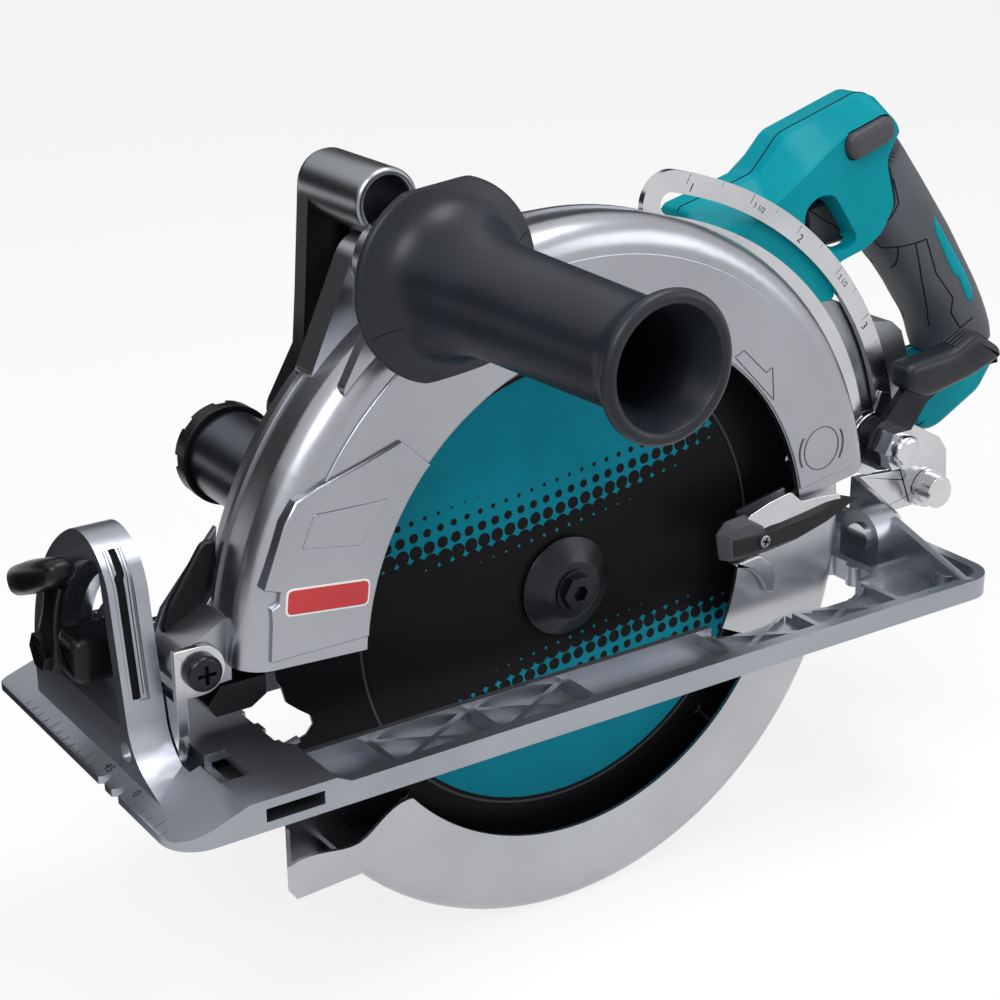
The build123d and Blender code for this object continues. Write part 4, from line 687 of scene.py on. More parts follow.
rings = []
for ends in GRIP_LINES:
    fore, aft = (Vector(PLANES["side"](end, HANDLE_Y)) for end in ends)
    rings.append(section((fore + aft) / 2, (fore - aft) / 2, (0, GRIP_HALF, 0), count=GRIP_POINTS))
rubber = piece_from("rear_grip_cover", *skin(rings), grip_rubber, "saw_body", "grip_rubber")
smoothing = rubber.modifiers.new("smooth", "SUBSURF")
smoothing.levels = 1
smoothing.render_levels = 1
apply_modifiers(rubber)
cut(rubber, rounded(shrink(SHELL_MIDDLE, -0.5), 2.5), GRIP_SPAN)
cut(rubber, GRIP_FOOT, GRIP_SPAN)
soften(rubber, 0.6, 35.0)
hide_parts("rear_grip_rubber")
print("rubber cover", len(rubber.data.vertices), "points")

# %% [markdown]
# The rubber carries shallow panel lines and, towards the palm, a slim teal insert. They are pressed onto
# the rubber from both sides, so the handle looks the same from the left and the right.

# %% Rubber lines and insert
RUBBER_LINE = (groove_dark, "saw_body", "grip_rubber")
PANEL_LINES = [
    [(-191.5, 175), (-199, 155.4), (-190.2, 140.2), (-194.6, 133), (-204, 134.6), (-217.3, 136.6)],
    [(-203.5, 134.4), (-212, 113), (-224.6, 89)],
    [(-211, 135.8), (-219, 117), (-232.5, 92)],
    [(-217.3, 136.6), (-225, 120), (-236.5, 106.8), (-237, 99.5), (-243, 91.5), (-250, 95)],
]
INSERT = [(-221.6, 147), (-222.2, 139.5), (-235.5, 118), (-238.8, 116.4), (-246, 103.5), (-249.5, 103),
          (-248.8, 109.5), (-243.5, 118)]
PATCH_GAP_MM = 2.5
PATCH_THICK_MM = 0.5


def patch_on(name, tree, outline, lift_mm, way, level, material, body, slot):
    """A thin patch pressed onto a surface and lifted a little off it."""
    flat = bmesh.new()
    flat.faces.new([flat.verts.new((p[0], p[1], 0.0)) for p in spaced(outline, PATCH_GAP_MM, True)])
    bmesh.ops.triangulate(flat, faces=flat.faces)
    wide = [edge for edge in flat.edges if edge.calc_length() > PATCH_GAP_MM * 1.6]
    bmesh.ops.subdivide_edges(flat, edges=wide, cuts=3)
    bmesh.ops.triangulate(flat, faces=flat.faces)
    points = []
    for vert in flat.verts:
        place, normal = drop(tree, PLANES["side"](vert.co, level), way)
        points.append((place + normal * lift_mm * MM) / MM)
    flat.verts.index_update()
    faces = [tuple(v.index for v in face.verts) for face in flat.faces]
    flat.free()
    solid = piece_from(name, points, faces, material, body, slot).modifiers.new("thickness", "SOLIDIFY")
    solid.thickness = PATCH_THICK_MM * MM
    solid.offset = -1.0


rubber_skin = surface_of(rubber)
for side, way in (("near", FROM_NEAR), ("far", FROM_FAR)):
    for index, points in enumerate(PANEL_LINES):
        line_on(f"grip_line_{side}_{index}", rubber_skin, points, 0.32, *RUBBER_LINE, way, HANDLE_Y)
    patch_on(f"grip_insert_{side}", rubber_skin, rounded(INSERT, 1.5), 0.25, way, HANDLE_Y, *TEAL_SHELL)
print(len(PANEL_LINES), "panel lines and an insert on each side")

# %% [markdown]
# The trigger is a nylon wedge: its front face leans back, and its sides are flat with eased edges. The
# lock-off button is a soft pill in acetal that stands a few millimetres proud of the shell, in the pocket
# that was cut for it.

# %% Trigger and lock-off button
TRIGGER = [(-152.5, 158.5), (-170, 160.5), (-181, 142), (-178, 139.4), (-166, 138.6), (-154, 143.5)]
TRIGGER_CROWN = ((-9.0, 2.2), (-8.0, 0.9), (-6.0, 0.0), (6.0, 0.0), (8.0, 0.9), (9.0, 2.2))
BUTTON = (26.0, 11.6, 5.6)
BUTTON_CROWN = ((10.5, 0.0), (20.4, 0.0), (21.4, 0.3), (22.1, 1.0), (22.5, 2.2), (22.6, 3.6))
wedge = crowned("trigger_wedge", rounded(TRIGGER, 2.0), TRIGGER_CROWN, HANDLE_Y, "side", trigger_nylon,
                "trigger_body", "grey_plastic", 0.4)
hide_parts("trigger")
button = crowned("lock_off_cap", pill(BUTTON_AT, *BUTTON, BUTTON_TURN), BUTTON_CROWN, HANDLE_Y, "side",
                 grey_acetal, "lock_off", "grey_plastic")
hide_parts("lock_off_button")
print("trigger and button")

# %% [markdown]
# The near face of the case carries a thin raised plate with a crisp edge. At the front it meets a thicker
# panel that stands over the rounded shoulder, so its wall has to run down to a curved surface. Each
# corner of the wall is dropped onto the case, which gives the deep facet at the left of the panel.

# %% Case face plate and front panel
CASE_METAL = (case_lacquer, "saw_body", "cast_magnesium")
CASE_CENTRE = (0.0, 35.0)
OPENING_CENTRE = (-4.5, 35.0)
OPENING_R = 105.0
FACE_R = 136.4
FACE_TOP = 18.9
PANEL_TOP = 20.6
PANEL_EDGE = [
    (139.8, 46.4), (138.5, 61.5), (138.7, 66.5), (135.8, 68.0), (135.0, 72.0), (141.2, 74.3), (132.1, 97.2),
    (127.4, 104.3), (118.2, 107.8), (101.0, 112.7), (84.5, 118.0)]
PLATE_SINK = 0.4
PLATE_WALL = 1.5
PLATE_EDGE = 0.2


def arc(centre, radius, start, stop, steps):
    """Points along an arc, with angles in degrees."""
    turns = [math.radians(start + (stop - start) * i / steps) for i in range(steps + 1)]
    return [Vector((centre[0] + radius * math.cos(t), centre[1] + radius * math.sin(t))) for t in turns]


def plate_on(name, tree, outline, top_mm, ease_mm, material, body, slot):
    """A plate with a flat near face, whose wall runs down to the surface below it."""
    foot = []
    for point in outline:
        place, _ = drop(tree, PLANES["side"](point, 0.0))
        low = top_mm - PLATE_WALL if place is None else place.y / MM - PLATE_SINK
        foot.append(PLANES["side"](point, low))
    wall = [PLANES["side"](p, top_mm - ease_mm) for p in outline]
    face = [PLANES["side"](p, top_mm) for p in shrink(outline, ease_mm)]
    piece_from(name, *skin([foot, wall, face]), material, body, slot, PLATE_EDGE)


case_skin = surface_of(nodes["blade_case"])
ring = arc(CASE_CENTRE, FACE_R, 24.0, 169.0, 96) + arc(OPENING_CENTRE, OPENING_R, 168.0, 26.0, 80)
plate_on("case_face_plate", case_skin, ring, FACE_TOP, 0.35, *CASE_METAL)
panel = [Vector(p) for p in PANEL_EDGE] + arc(OPENING_CENTRE, OPENING_R, 43.0, 6.2, 24)
plate_on("case_front_panel", case_skin, panel, PANEL_TOP, 0.7, *CASE_METAL)
print("face plate and front panel")

# %% [markdown]
# The case has a few generic marks: a raised trapezoid and a red enamel bar on the panel, an engraved arrow
# for the blade's sense of turning, and an engraved ring with two brackets. The enamel bar is plain. The
# engraved lines are drawn as fine beads in a shaded finish.

# %% Marks on the case
CASE_MARK = (engraved, "saw_body", "cast_magnesium")
RAISED_FIELD = [Vector(p) for p in ((120.6, 98.5), (126.0, 86.6), (102.8, 82.6), (90.5, 97.6))]
BAR_AT = (116.5, 66.0)
BAR_TURN = 6.5
PANEL_MARKS = (
    ("panel_raised_field", RAISED_FIELD, 0.5, 0.45, case_lacquer),
    ("badge_border", pill(BAR_AT, 34.0, 10.4, 2.6, BAR_TURN), 0.25, 0.1, white_enamel),
    ("badge_bar", pill(BAR_AT, 32.6, 9.0, 2.1, BAR_TURN), 0.45, 0.15, red_enamel))
ARROW = [(-69.3, 120.6), (-73.8, 122.6), (-85.6, 111.3), (-88.9, 112.9), (-90.2, 99.0)]
RING_AT = (-117.3, 72.9)
RING_R = 9.2
BRACKET_R = 11.8
BRACKET_STARTS = (148.0, -32.0)
BRACKET_SWEEP = 64.0


def circle(centre, radius, count=45):
    """Evenly spaced points round a circle."""
    return arc(centre, radius, 0.0, 360.0 - 360.0 / count, count - 1)


panel_skin = surface_of(nodes["blade_case"], bpy.data.objects["case_face_plate"],
                        bpy.data.objects["case_front_panel"])
for name, outline, rise, ease, material in PANEL_MARKS:
    plate_on(name, panel_skin, outline, PANEL_TOP + rise, ease, material, "saw_body", "cast_magnesium")
line_on("turn_arrow", panel_skin, ARROW, 0.25, *CASE_MARK, closed=True)
line_on("ring_mark", panel_skin, circle(RING_AT, RING_R), 0.28, *CASE_MARK, closed=True)
for index, start in enumerate(BRACKET_STARTS):
    bracket = arc(RING_AT, BRACKET_R, start, start + BRACKET_SWEEP, 14)
    line_on(f"ring_bracket_{index}", panel_skin, bracket, 0.45, *CASE_MARK)
print("marks on the case")

# %% [markdown]
# The depth guide has a scale pressed into its outer edge: a tick and a number for each half inch of depth,
# and a shorter tick between. Each tick is found by walking in from outside until the guide is met, so the
# scale follows the real edge. The numbers are the plain ones of any such guide.

# %% Depth scale makers
SCALE_PRINT = (scale_ink, "guide", "zinc_steel")
WALK_START = -10.0
WALK_STEP = 0.2
WALK_COUNT = 120
TICK_START = 0.4
FIGURE_THICK_MM = 0.04
guide_skin = surface_of(nodes["depth_guide"])


def edge_of(tree, point, inward):
    """The first place on a surface when walking in from outside it."""
    for step in range(WALK_COUNT):
        spot = Vector(point) + inward * (WALK_STEP * step + WALK_START)
        if drop(tree, PLANES["side"](spot, 0.0))[0] is not None:
            return spot
    return Vector(point)


def scale_tick(name, point, inward, length, radius_mm, sink_mm):
    """A tick that runs in from the edge of the guide, which is given back."""
    edge = edge_of(guide_skin, point, inward)
    line_on(name, guide_skin, [edge + inward * TICK_START, edge + inward * length], radius_mm, *SCALE_PRINT,
            gap_mm=1.0, sink_mm=sink_mm)
    return edge


def lettering(name, text, size_mm, corner, right, up, lift_mm, material, body, slot):
    """Flat figures on a face, from the corner where they start and their two directions."""
    curve = bpy.data.curves.new(name, "FONT")
    curve.body = text
    curve.size = size_mm * MM
    curve.extrude = FIGURE_THICK_MM * MM
    mesh = curve_mesh(curve)
    right, up = Vector(right).normalized(), Vector(up).normalized()
    out = right.cross(up)
    place = Matrix((right, up, out)).transposed().to_4x4()
    place.translation = (Vector(corner) + out * lift_mm) * MM
    mesh.transform(place)
    settle(name, mesh, material, body, smooth=False)


def box_mm(node):
    """The lowest and the highest corner of a node, in millimetres."""
    return [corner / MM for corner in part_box(node)]


print("scale makers ready")

# %% [markdown]
# A number of one figure is written large, and one with a fraction small, beside its own tick.

# %% Depth scale
SCALE_MARKS = (
    ("1", (-79.7, 186.7)), ("1 1/2", (-111.0, 169.5)), ("2", (-134.8, 150.5)), ("2 1/2", (-156.9, 128.5)),
    ("3", (-174.6, 106.4)), ("3 1/2", (-190.0, 82.0)))
TICK = (4.6, 1.2, 1.13)
HALF_TICK = (2.8, 0.8, 0.755)
guide_face = box_mm("depth_guide")[1].y
spots = [Vector(spot) for _, spot in SCALE_MARKS]
for index, (text, _) in enumerate(SCALE_MARKS):
    here = spots[index]
    ahead = spots[min(index + 1, len(spots) - 1)]
    along = (ahead - spots[max(index - 1, 0)]).normalized()
    inward = Vector((-along.y, along.x))
    if inward.dot(Vector(CASE_CENTRE) - here) < 0:
        inward = -inward
    edge = scale_tick(f"scale_tick_{index}", here, inward, *TICK)
    if index + 1 < len(spots):
        scale_tick(f"scale_half_tick_{index}", here.lerp(ahead, 0.5), inward, *HALF_TICK)
    size = 5.2 if len(text) == 1 else 3.4
    corner = edge + along * 1.8 + inward * (1.6 + size)
    lettering(f"scale_number_{index}", text, size, PLANES["side"](corner, guide_face),
              PLANES["side"](along, 0), PLANES["side"](-inward, 0), 0.05, *SCALE_PRINT)
print("scale with", len(SCALE_MARKS), "numbers")

# %% [markdown]
# The bevel clamp is worked by a nylon T lever: a rounded paddle on a waisted neck, over a round hub. A loft
# through rounded sections gives the soft moulded form.

# %% Bevel lever
BEVEL_NYLON = (black_nylon, "bevel_clamp", "black_plastic")
PADDLE_TURN = math.radians(24.0)
PADDLE_AT = Vector((-7.5, 12.5, 35.5))
PADDLE = (
    (-23.2, 2.0, 3.0), (-22.0, 4.4, 5.6), (-18.0, 5.9, 7.0), (-6.0, 6.2, 7.3), (8.0, 5.6, 7.0),
    (19.0, 4.6, 6.0), (22.2, 3.2, 4.6), (23.2, 1.4, 2.4))
NECK_AT = Vector((-13.0, 0.0, 0.0))
NECK_WAY = Vector((0.0, 12.0, 34.0)).normalized()
NECK_SIDE = Vector((0.0, NECK_WAY.z, -NECK_WAY.y))
NECK_DEEP = (2.4, 0.0, 0.0)
NECK_POWER = 4.0
NECK = ((0.0, 8.6), (6.0, 8.2), (14.0, 6.0), (22.0, 5.6), (30.0, 6.6), (36.0, 8.0))
HUB_R = 9.0
HUB_BACK = 11.5
HUB_CROWN = ((-9.0, 2.8), (-7.6, 2.8), (-7.0, 0.0), (-1.0, 0.0), (0.4, 0.6), (1.0, 2.0))


def joint_mm(name):
    """The place of a joint, in millimetres."""
    return Vector(joints[name]["pos_m"]) / MM


bolt = joint_mm("bevel_clamp_turn")
front = Vector((box_mm("bevel_lever")[1].x, bolt.y, bolt.z))
along = Vector((0.0, math.cos(PADDLE_TURN), math.sin(PADDLE_TURN)))
across = Vector((0.0, -math.sin(PADDLE_TURN), math.cos(PADDLE_TURN)))
rings = [section(front + PADDLE_AT + along * d, across * h, (w, 0, 0)) for d, h, w in PADDLE]
piece_from("bevel_paddle", *skin(rings), *BEVEL_NYLON)
rings = [section(front + NECK_AT + NECK_WAY * d, NECK_SIDE * h, NECK_DEEP, NECK_POWER) for d, h in NECK]
piece_from("bevel_lever_neck", *skin(rings), *BEVEL_NYLON, 0.5)
hub = crowned("bevel_lever_hub", circle((bolt.y, bolt.z), HUB_R, 40), HUB_CROWN, front.x - HUB_BACK, "front",
              *BEVEL_NYLON, 0.3)
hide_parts("bevel_lever")
print("bevel lever of", len(PADDLE), "and", len(NECK), "sections")

# %% [markdown]
# The stop knob beside the lever is a rounded square with a crowned face, and a plated ring behind it.

# %% Stop knob
KNOB_HALF = 9.4
KNOB_BACK = 13.4
KNOB_CROWN = ((0.0, 1.2), (1.6, 0.2), (13.0, 0.0), (15.8, 0.5), (17.4, 1.7), (18.3, 3.6), (18.6, 6.0))
KNOB_RING_R = 10.6
KNOB_RING_BACK = 12.6
CORNERS = ((-1, -1), (1, -1), (1, 1), (-1, 1))
stop = joint_mm("bevel_stop_turn")
front = box_mm("bevel_stop_knob")[1].x
square = [(stop.y + a * KNOB_HALF, stop.z + b * KNOB_HALF) for a, b in CORNERS]
knob = crowned("stop_knob_cap", rounded(square, 5.5, 6), KNOB_CROWN, front - KNOB_BACK, "front", black_nylon,
               "bevel_stop", "black_plastic", 0.3)
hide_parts("bevel_stop_knob")
ring = circle((stop.y, stop.z), KNOB_RING_R, 60)
tube("stop_knob_ring", [Vector(PLANES["front"](p, front - KNOB_RING_BACK)) * MM for p in ring], 1.0, nickel,
     "bevel_stop", True)
print("stop knob of", 2 * KNOB_HALF, "mm")

# %% [markdown]
# The guard lever is a moulded wedge that stands out from the case, so that a thumb can push the guard
# back. A grey block makes its root, a black blade thins out to a tip in front of a bright sheet tab, and
# a cast claw hangs below. The blade is lofted through four-sided sections, and a bevel eases its edges.
# Its underside slopes, so that it clears the rail when the saw leans over to its full bevel.

# %% Guard lever
LEVER_BLADE = [
    [(-70.5, 21.4, 45.5), (-66.9, 23.8, 45.4), (-67.9, 23.8, 37.6), (-70.5, 20.4, 34.2)],
    [(-79.0, 21.4, 45.6), (-80.0, 24.0, 44.6), (-78.5, 24.0, 37.8), (-78.0, 20.4, 34.2)],
    [(-90.0, 21.4, 47.1), (-88.0, 23.8, 44.4), (-87.3, 23.8, 37.6), (-88.0, 20.4, 34.2)],
    [(-104.0, 21.4, 49.1), (-107.0, 23.2, 45.6), (-103.0, 23.2, 38.2), (-104.0, 20.6, 36.0)],
    [(-124.0, 21.4, 52.2), (-123.0, 22.8, 47.0), (-119.0, 22.6, 41.4), (-119.5, 21.4, 40.6)],
    [(-136.4, 21.4, 48.0), (-136.8, 22.2, 47.6), (-133.5, 22.2, 46.8), (-133.0, 21.4, 46.8)]]
LEVER_ROOT = [
    (-61.4, 47.6), (-65.9, 52.3), (-76.0, 53.4), (-86.0, 47.0), (-86.0, 34.4), (-70.0, 34.2), (-63.4, 36.4)]
LEVER_ROOT_FACE = [
    (-65.8, 47.4), (-69.0, 49.5), (-77.0, 50.5), (-84.0, 46.5), (-84.0, 38.0), (-70.0, 37.6), (-67.2, 37.8)]
ROOT_DEPTHS = (19.3, 20.4, 23.6)
LEVER_TAB = [
    (-76.8, 52.8), (-87.6, 56.4), (-99.0, 58.6), (-105.3, 53.0), (-115.6, 53.0), (-126.0, 52.0),
    (-128.0, 46.0), (-110.0, 40.0), (-84.0, 40.0), (-74.0, 46.0)]
TAB_DEPTHS = (21.2, 22.0)
CLAW = [
    (-75.0, 29.5), (-79.0, 30.2), (-89.5, 31.3), (-95.6, 26.2), (-99.2, 18.4), (-98.4, 11.6), (-94.2, 12.0),
    (-91.0, 18.2), (-85.5, 24.2)]
CLAW_CROWN = ((10.6, 0.3), (11.2, 0.0), (14.4, 0.0), (15.4, 0.5), (16.0, 1.5))
blade_piece = piece_from("guard_lever_blade", *skin(LEVER_BLADE), black_nylon, "guard", "black_plastic", 0.5)
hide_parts("guard_lever")
root, face = rounded(LEVER_ROOT, 1.0, 2), rounded(LEVER_ROOT_FACE, 1.0, 2)
stack("guard_lever_root", [root, root, face], ROOT_DEPTHS, "side", grey_acetal, "guard", "grey_plastic", 0.4)
stack("guard_lever_tab", [rounded(LEVER_TAB, 1.5)] * 2, TAB_DEPTHS, "side", zinc_plate, "guard", "zinc_steel",
      0.25)
crowned("guard_lever_claw", rounded(CLAW, 2.0), CLAW_CROWN, 0.0, "side", case_lacquer, "guard",
        "cast_magnesium", 0.3)
print("guard lever of", len(LEVER_BLADE), "sections")

# %% [markdown]
# One screw holds the lever to the guard. Its head sits on a dark seat, its shank reaches in to the guard,
# and two thin dark bars make the cross slot.

# %% Guard lever screw
SCREW_AT = (-83.6, 41.4)
SEAT_CROWN = ((23.2, 0.0), (24.4, 0.3))
SCREW_DEPTHS = (8.0, 24.1, 24.1, 25.0, 25.3)
LEVER_SLOT = (3.4, 0.9, 0.3)


def cross_slot(name, spot, bar, turn, depths, body):
    """Two dark bars that cross in a screw head; a bar is its length, width and corner."""
    for angle in (turn, turn + 90):
        ring = pill(spot, *bar, angle)
        stack(f"{name}_{angle}", [ring, ring], depths, "side", groove_dark, body, "black_steel")


crowned("guard_lever_screw_seat", circle(SCREW_AT, 3.4), SEAT_CROWN, 0.0, "side", black_oxide, "guard",
        "black_steel", 0.15)
shank, head = circle(SCREW_AT, 1.9), circle(SCREW_AT, 2.6)
screw = stack("guard_lever_screw_head", [shank, shank, head, head, shrink(head, 0.6)], SCREW_DEPTHS, "side",
              ground_steel, "guard", "black_steel", 0.12)
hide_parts("lever_screw")
cross_slot("guard_lever_screw_slot", SCREW_AT, LEVER_SLOT, 20, (25.1, 25.36), "guard")
print("guard lever screw")

# %% [markdown]
# The clamp lever of the depth guide ends in a rubber pad with ribs along its top, so that a thumb doesn't
# slip. The pad is a stack of its side outline, drawn in towards both faces so that its edges are round,
# and the ribs are beads dropped onto it from above.

# %% Depth lever pad
PAD_RUBBER = (side_rubber, "depth_clamp", "grip_rubber")
PAD = [(-3, 37), (-31, 39), (-45, 46), (-61, 36), (-62, 31), (-44, 25), (-17, 20), (-4, 26)]
PAD_CROWN = (
    (0.0, 2.6), (0.7, 1.0), (2.2, 0.2), (4.0, 0.0), (9.6, 0.0), (12.0, 0.5), (13.4, 1.8), (14.0, 3.6))
RIB_COUNT = 5
RIB_FIRST = 2.4
RIB_PITCH = 2.3
RIB_ENDS = (-34.0, -52.0)
clamp = joint_mm("depth_clamp_turn")
pad_back = box_mm("depth_lever_grip")[0].y
pad_ring = rounded([(clamp.x + x, clamp.z + z) for x, z in PAD], 4.5)
pad = crowned("depth_lever_pad", pad_ring, PAD_CROWN, pad_back, "side", *PAD_RUBBER)
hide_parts("depth_lever_grip")
pad_skin = surface_of(pad)
for index in range(RIB_COUNT):
    y = pad_back + RIB_FIRST + index * RIB_PITCH
    line_on(f"depth_lever_rib_{index}", pad_skin, [(clamp.x + end, y) for end in RIB_ENDS], 0.6, *PAD_RUBBER,
            FROM_ABOVE)
print(RIB_COUNT, "ribs on the depth lever")

# %% [markdown]
# The top sleeve is a turned tube, open towards the blade side, whose far end closes over the arm that
# carries it. The side grip is moulded in two halves, and leaves a fine parting line across its flange.

# %% Top sleeve and grip seam
SLEEVE_PROFILE = [
    (0.0, 12.0), (9.3, 12.0), (9.5, 42.6), (10.2, 43.7), (11.6, 43.7), (12.4, 42.8), (12.6, 41.6),
    (12.7, 2.4), (12.3, 0.8), (11.2, -0.2), (9.0, -0.6), (0.0, -0.6)]
SLEEVE_STEPS = 96
SEAM_ANGLES = (-26.0, 158.0)
SEAM_RADII = (35.2, 25.0)


def axis_of(node):
    """The middle of a node's box, seen from the side."""
    low, high = box_mm(node)
    return Vector(((low.x + high.x) / 2, (low.z + high.z) / 2))


centre = axis_of("top_sleeve")
arm_back = box_mm("rear_arm")[0].y
rings = []
for step in range(SLEEVE_STEPS):
    angle = math.tau * step / SLEEVE_STEPS
    way = Vector((math.cos(angle), math.sin(angle)))
    rings.append([PLANES["side"](centre + way * r, arm_back + y) for r, y in SLEEVE_PROFILE])
sleeve = piece_from("sleeve_shell", *skin(rings + rings[:1], False), drawn_tube, "saw_body",
                    "sleeve_aluminium", 0.3)
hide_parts("top_sleeve")
centre = axis_of("side_grip")
grip_skin = surface_of(nodes["side_grip"])
for index, angle in enumerate(SEAM_ANGLES):
    way = Vector((math.cos(math.radians(angle)), math.sin(math.radians(angle))))
    line_on(f"side_grip_seam_{index}", grip_skin, [centre + way * r for r in SEAM_RADII], 0.14, *RUBBER_LINE)
print("sleeve shell and", len(SEAM_ANGLES), "seams")

# %% [markdown]
# Behind the gear housing sits the battery dock: a moulded nylon box with eased edges, a row of vents in
# its side, and two hooked rails below that the battery slides on. Its shell is a stack of rounded
# outlines, and the vents are cut out of it so that they are real hollows.

# %% Battery dock
DOCK = [(-172.0, -126.0), (-56.0, -126.0), (-56.0, -44.0), (-172.0, -44.0)]
DOCK_CROWN = ((84.0, 1.2), (85.2, 0.0), (112.5, 0.0), (115.6, 0.9), (117.4, 2.6), (118.0, 5.2))
RAILS = (
    [(-58.0, 84.5), (-62.0, 84.5), (-62.0, 78.0), (-66.0, 78.0), (-66.0, 75.0), (-58.0, 75.0)],
    [(-110.0, 84.5), (-114.0, 84.5), (-114.0, 75.0), (-106.0, 75.0), (-106.0, 78.0), (-110.0, 78.0)])
RAIL_SPAN = (-171.5, -70.0)
VENT = (14.0, 4.2, 2.0, 70.0)
VENT_START = (-146.0, 99.0)
VENT_SPAN = (-130.0, -122.5)
VENT_COUNT = 6
VENT_PITCH = 13.0
dock = crowned("dock_shell", rounded(DOCK, 8.0), DOCK_CROWN, 0.0, "top", *TEAL_SHELL)
for index in range(VENT_COUNT):
    cut(dock, pill((VENT_START[0] + VENT_PITCH * index, VENT_START[1]), *VENT), VENT_SPAN)
soften(dock, 0.6)
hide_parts("battery_dock")
for index, outline in enumerate(RAILS):
    stack(f"dock_rail_{index}", [rounded(outline, 0.8, 2)] * 2, RAIL_SPAN, "front", trigger_nylon, "saw_body",
          "teal_plastic", 0.3)
print("dock with", VENT_COUNT, "vents and", len(RAILS), "rails")

# %% [markdown]
# Three screws hold the handle shells together from the far side. Each sits in a shallow round well, drawn
# as a dark ring with a steel head in it that has a cross slot.

# %% Handle screws
SHELL_SCREWS = ((-108.0, 148.0), (-150.0, 127.0), (-128.0, 157.0))
WELL_CROWN = ((0.6, 0.0), (-0.12, 0.0))
HEAD_CROWN = ((0.6, 0.0), (-0.5, 0.0), (-0.9, 0.7))
SHELL_SLOT = (4.4, 1.0, 0.4)
far_skin = surface_of(far_shell)
for index, spot in enumerate(SHELL_SCREWS):
    y = drop(far_skin, PLANES["side"](spot, HANDLE_Y), FROM_FAR)[0].y / MM
    crowned(f"screw_well_{index}", circle(spot, 4.6), WELL_CROWN, y, "side", groove_dark, "saw_body",
            "black_steel")
    crowned(f"screw_head_{index}", circle(spot, 3.6), HEAD_CROWN, y, "side", black_oxide, "saw_body",
            "black_steel", 0.15)
    cross_slot(f"screw_slot_{index}", spot, SHELL_SLOT, 35, (y - 0.6, y - 0.96), "saw_body")
print(len(SHELL_SCREWS), "screws in the far shell")

# %% [markdown]
# The leg of the front quadrant is stiffened by two low ridges with a dark groove between them. Behind it a
# black plate and a bright cast rib close the gap to the case. The plate is painted shade: a dark sheet laid
# over the shadowed wing of the case wall. The ridges are beads pressed onto the leg from the near side, and
# the shade plate and the rib stand on the wing of the case wall.

# %% Quadrant groove and wing cover
LEG_X = 180.0
LEG_SPAN = (34.5, 86.0)
LEG_LINES = (
    ("quadrant_groove", 0.0, 1.9, groove_dark, 1.2),
    ("quadrant_ridge_0", -2.9, 0.8, base_casting, 0.2),
    ("quadrant_ridge_1", 2.9, 0.8, base_casting, 0.2))
WING_SHADE = [(162.0, 60.5), (147.0, 82.0), (141.5, 82.0), (142.5, 62.0), (157.0, 44.5), (165.0, 51.5)]
WING_SHADE_CROWN = ((-0.4, 0.0), (1.6, 0.0), (2.4, 0.8))
RIB = [(155.6, 43.6), (158.4, 45.6), (144.4, 64.6), (141.6, 62.6)]
RIB_CROWN = ((-0.4, 0.0), (5.0, 0.0))
WING_THICK = 3.0
base_skin = surface_of(nodes["base_shoe"])
for name, offset, radius, material, sink in LEG_LINES:
    line_on(name, base_skin, [(LEG_X + offset, z) for z in LEG_SPAN], radius, material, "base",
            "cast_magnesium", sink_mm=sink)
wing_face = box_mm("case_back")[0].y + WING_THICK
# The black plate is painted shade: a dark sheet over the shadowed wing of the case wall.
crowned("wing_shade_plate", rounded(WING_SHADE, 2.0), WING_SHADE_CROWN, wing_face, "side", black_nylon, "saw_body",
        "black_plastic", 0.3)
crowned("wing_rib", rounded(RIB, 0.8, 2), RIB_CROWN, wing_face, "side", *CASE_METAL, 0.5)
print("groove, ridges, shade plate and rib")

# %% [markdown]
# The front lip of the base is a ruler: fine ticks along its edge, and a number at each of the two sight
# notches, 0 for square and 45 for bevelled cuts. They are pressed onto the lip from above, and a tick that
# would start in a notch is left out.

# %% Lip scale
LIP_X = 193.2
LIP_START = -84.0
LIP_PITCH = 6.0
LIP_COUNT = 22
LIP_TICKS = (2.6, 4.4)
LIP_NUMBERS = (("lip_square", "0", 5.8), ("lip_bevel", "45", -18.6))
ACROSS = Vector((0.0, 1.0, 0.0))
for index in range(LIP_COUNT):
    y = LIP_START + LIP_PITCH * index
    length = LIP_TICKS[index % 5 == 4]
    if drop(base_skin, (LIP_X, y, 0.0), FROM_ABOVE)[0] is not None:
        line_on(f"lip_tick_{index}", base_skin, [(LIP_X, y), (LIP_X - length, y)], 0.16, engraved, "base",
                "cast_magnesium", FROM_ABOVE, gap_mm=1.0)
for name, text, y in LIP_NUMBERS:
    place, slope = drop(base_skin, (LIP_X - 3.0, y, 0.0), FROM_ABOVE)
    lettering(name, text, 5.0, place / MM, ACROSS, slope.cross(ACROSS), 0.08, scale_ink, "base",
              "cast_magnesium")
print("lip scale with", len(LIP_NUMBERS), "numbers")

# %% [markdown]
# The studio is a white dome over a pale floor. The white background is what camera, glossy and
# transmission rays meet, at a strength of 1, while a dimmer dome lights the saw.

# %% White dome
DOME_LEVEL = 0.36
scene.view_settings.view_transform = "Standard"
world = bpy.data.worlds.new("white_studio")
scene.world = world
world.use_nodes = True
sky = world.node_tree
rays = add(sky, "ShaderNodeLightPath").outputs
seen = add(sky, MATH, {
    0: rays["Is Glossy Ray"], 1: rays["Is Transmission Ray"]}, operation="MAXIMUM").outputs[0]
seen = add(sky, MATH, {0: rays["Is Camera Ray"], 1: seen}, operation="MAXIMUM").outputs[0]
level = add(sky, "ShaderNodeMapRange", {"Value": seen, "To Min": DOME_LEVEL, "To Max": 1.0}).outputs[0]
dome = sky.nodes["Background"]
dome.inputs["Color"].default_value = linear("#FFFFFF")
sky.links.new(level, dome.inputs["Strength"])
print("dome at", DOME_LEVEL)

# %% [markdown]
# The floor is a pale sheet just under the lowest point. Where the camera or a reflection sees it, most of
# its look is an even white, and the rest is the lit sheet, which keeps the saw's soft shadow.

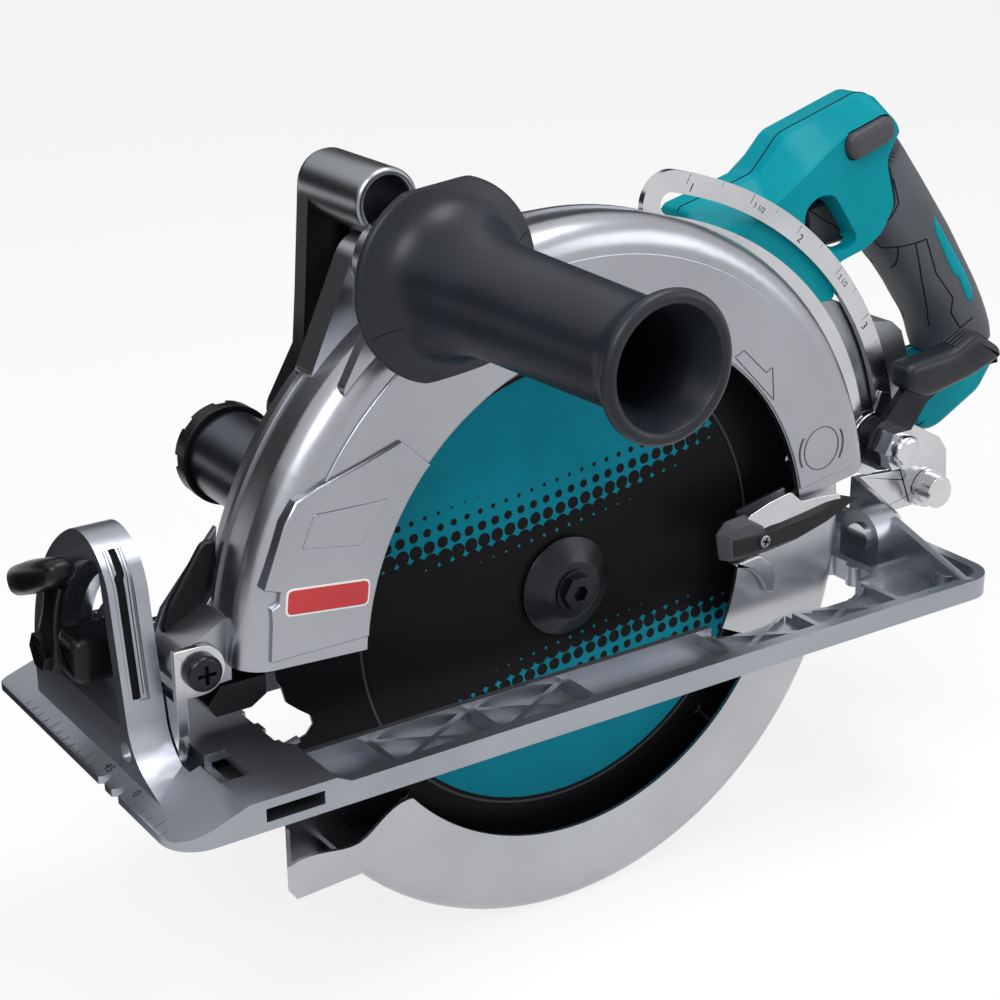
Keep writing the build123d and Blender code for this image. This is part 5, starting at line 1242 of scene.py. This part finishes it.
# %% Floor
FLOOR_DROP_MM = 0.6
FLOOR_HALF = 6.0
FLOOR_GLOW = 0.82


def sheet(name, corners, material):
    """A flat stage sheet from four corners in metres."""
    mesh = bpy.data.meshes.new(name)
    mesh.from_pydata(corners, [], [(0, 1, 2, 3)])
    mesh.materials.append(material)
    piece = bpy.data.objects.new(name, mesh)
    scene.collection.objects.link(piece)
    return piece


pale_floor = finish("pale_floor", "#F2F2F2", "#F5F5F5", 0.9, 400.0, 5.0)
tree = pale_floor.node_tree
rays = add(tree, "ShaderNodeLightPath").outputs
seen = add(tree, MATH, {0: rays["Is Camera Ray"], 1: rays["Is Glossy Ray"]}, operation="MAXIMUM").outputs[0]
share = add(tree, MATH, {0: seen, 1: FLOOR_GLOW}, operation="MULTIPLY").outputs[0]
glow = add(tree, "ShaderNodeEmission", {"Color": linear("#FFFFFF"), "Strength": 1.0})
both = add(tree, "ShaderNodeMixShader", {
    0: share, 1: tree.nodes["Principled BSDF"].outputs[0], 2: glow.outputs[0]})
tree.links.new(both.outputs[0], tree.nodes["Material Output"].inputs["Surface"])
floor_z = cad_box[0].z - FLOOR_DROP_MM * MM
sheet("floor", [(a * FLOOR_HALF, b * FLOOR_HALF, floor_z) for a, b in CORNERS], pale_floor)
print("floor at", round(floor_z, 4))

# %% [markdown]
# Satin metal only reads as metal when it has something dark to mirror, so a photographer hangs black cloth
# out of the picture, and lays a black card on the floor. Three such flags and one card stand here, and
# only reflections see them.

# %% Black flags
FLAG_BOTTOM = 0.02
FLAGS = (
    ("flag_behind", (-0.95, -1.25), (0.79, -0.61), 1.5, 1.05),
    ("flag_far", (1.15, -1.85), (0.93, 0.36), 0.98, 1.05),
    ("flag_front", (1.45, -0.35), (0.23, 0.97), 0.55, 0.75),
)
CARD = [(0.20, -0.95), (1.10, -0.95), (1.10, -0.12), (0.20, -0.12)]
CARD_LIFT = 0.002
black_cloth = finish("black_flag_cloth", "#060607", "#0A0A0B", 0.95, 60.0, 3.0, Specular_IOR_Level=0.0)
shades = [sheet("flag_floor", [(x, y, floor_z + CARD_LIFT) for x, y in CARD], black_cloth)]
for name, centre, along, reach, top in FLAGS:
    one = Vector(centre) - Vector(along) * reach
    two = Vector(centre) + Vector(along) * reach
    corners = [(*one, FLAG_BOTTOM), (*two, FLAG_BOTTOM), (*two, top), (*one, top)]
    shades.append(sheet(name, corners, black_cloth))
for flag in shades:
    for ray in ("camera", "diffuse", "shadow", "transmission"):
        setattr(flag, f"visible_{ray}", False)
print(len(FLAGS), "flags and a card")

# %% [markdown]
# Three large square soft boxes light the saw at a plain level: the key from the front on the blade side,
# one from above, and a weaker fill from behind. Each points at a place on the saw.

# %% Lamps
LAMPS = (
    ("key_box", (1.1, 0.7, 1.3), (0.0, 0.0, 0.08), 0.7, 16.0),
    ("top_box", (-0.3, 0.3, 1.6), (0.0, 0.0, 0.05), 0.8, 16.0),
    ("fill_box", (-1.2, 1.1, 0.6), (0.0, 0.0, 0.05), 0.9, 6.0),
)
for name, place, aim, size, power in LAMPS:
    light = bpy.data.lights.new(name, "AREA")
    light.size = size
    light.energy = power
    holder = bpy.data.objects.new(name, light)
    scene.collection.objects.link(holder)
    holder.location = place
    holder.rotation_mode = "QUATERNION"
    holder.rotation_quaternion = (Vector(aim) - Vector(place)).to_track_quat("-Z", "Y")
print(len(LAMPS), "soft boxes")
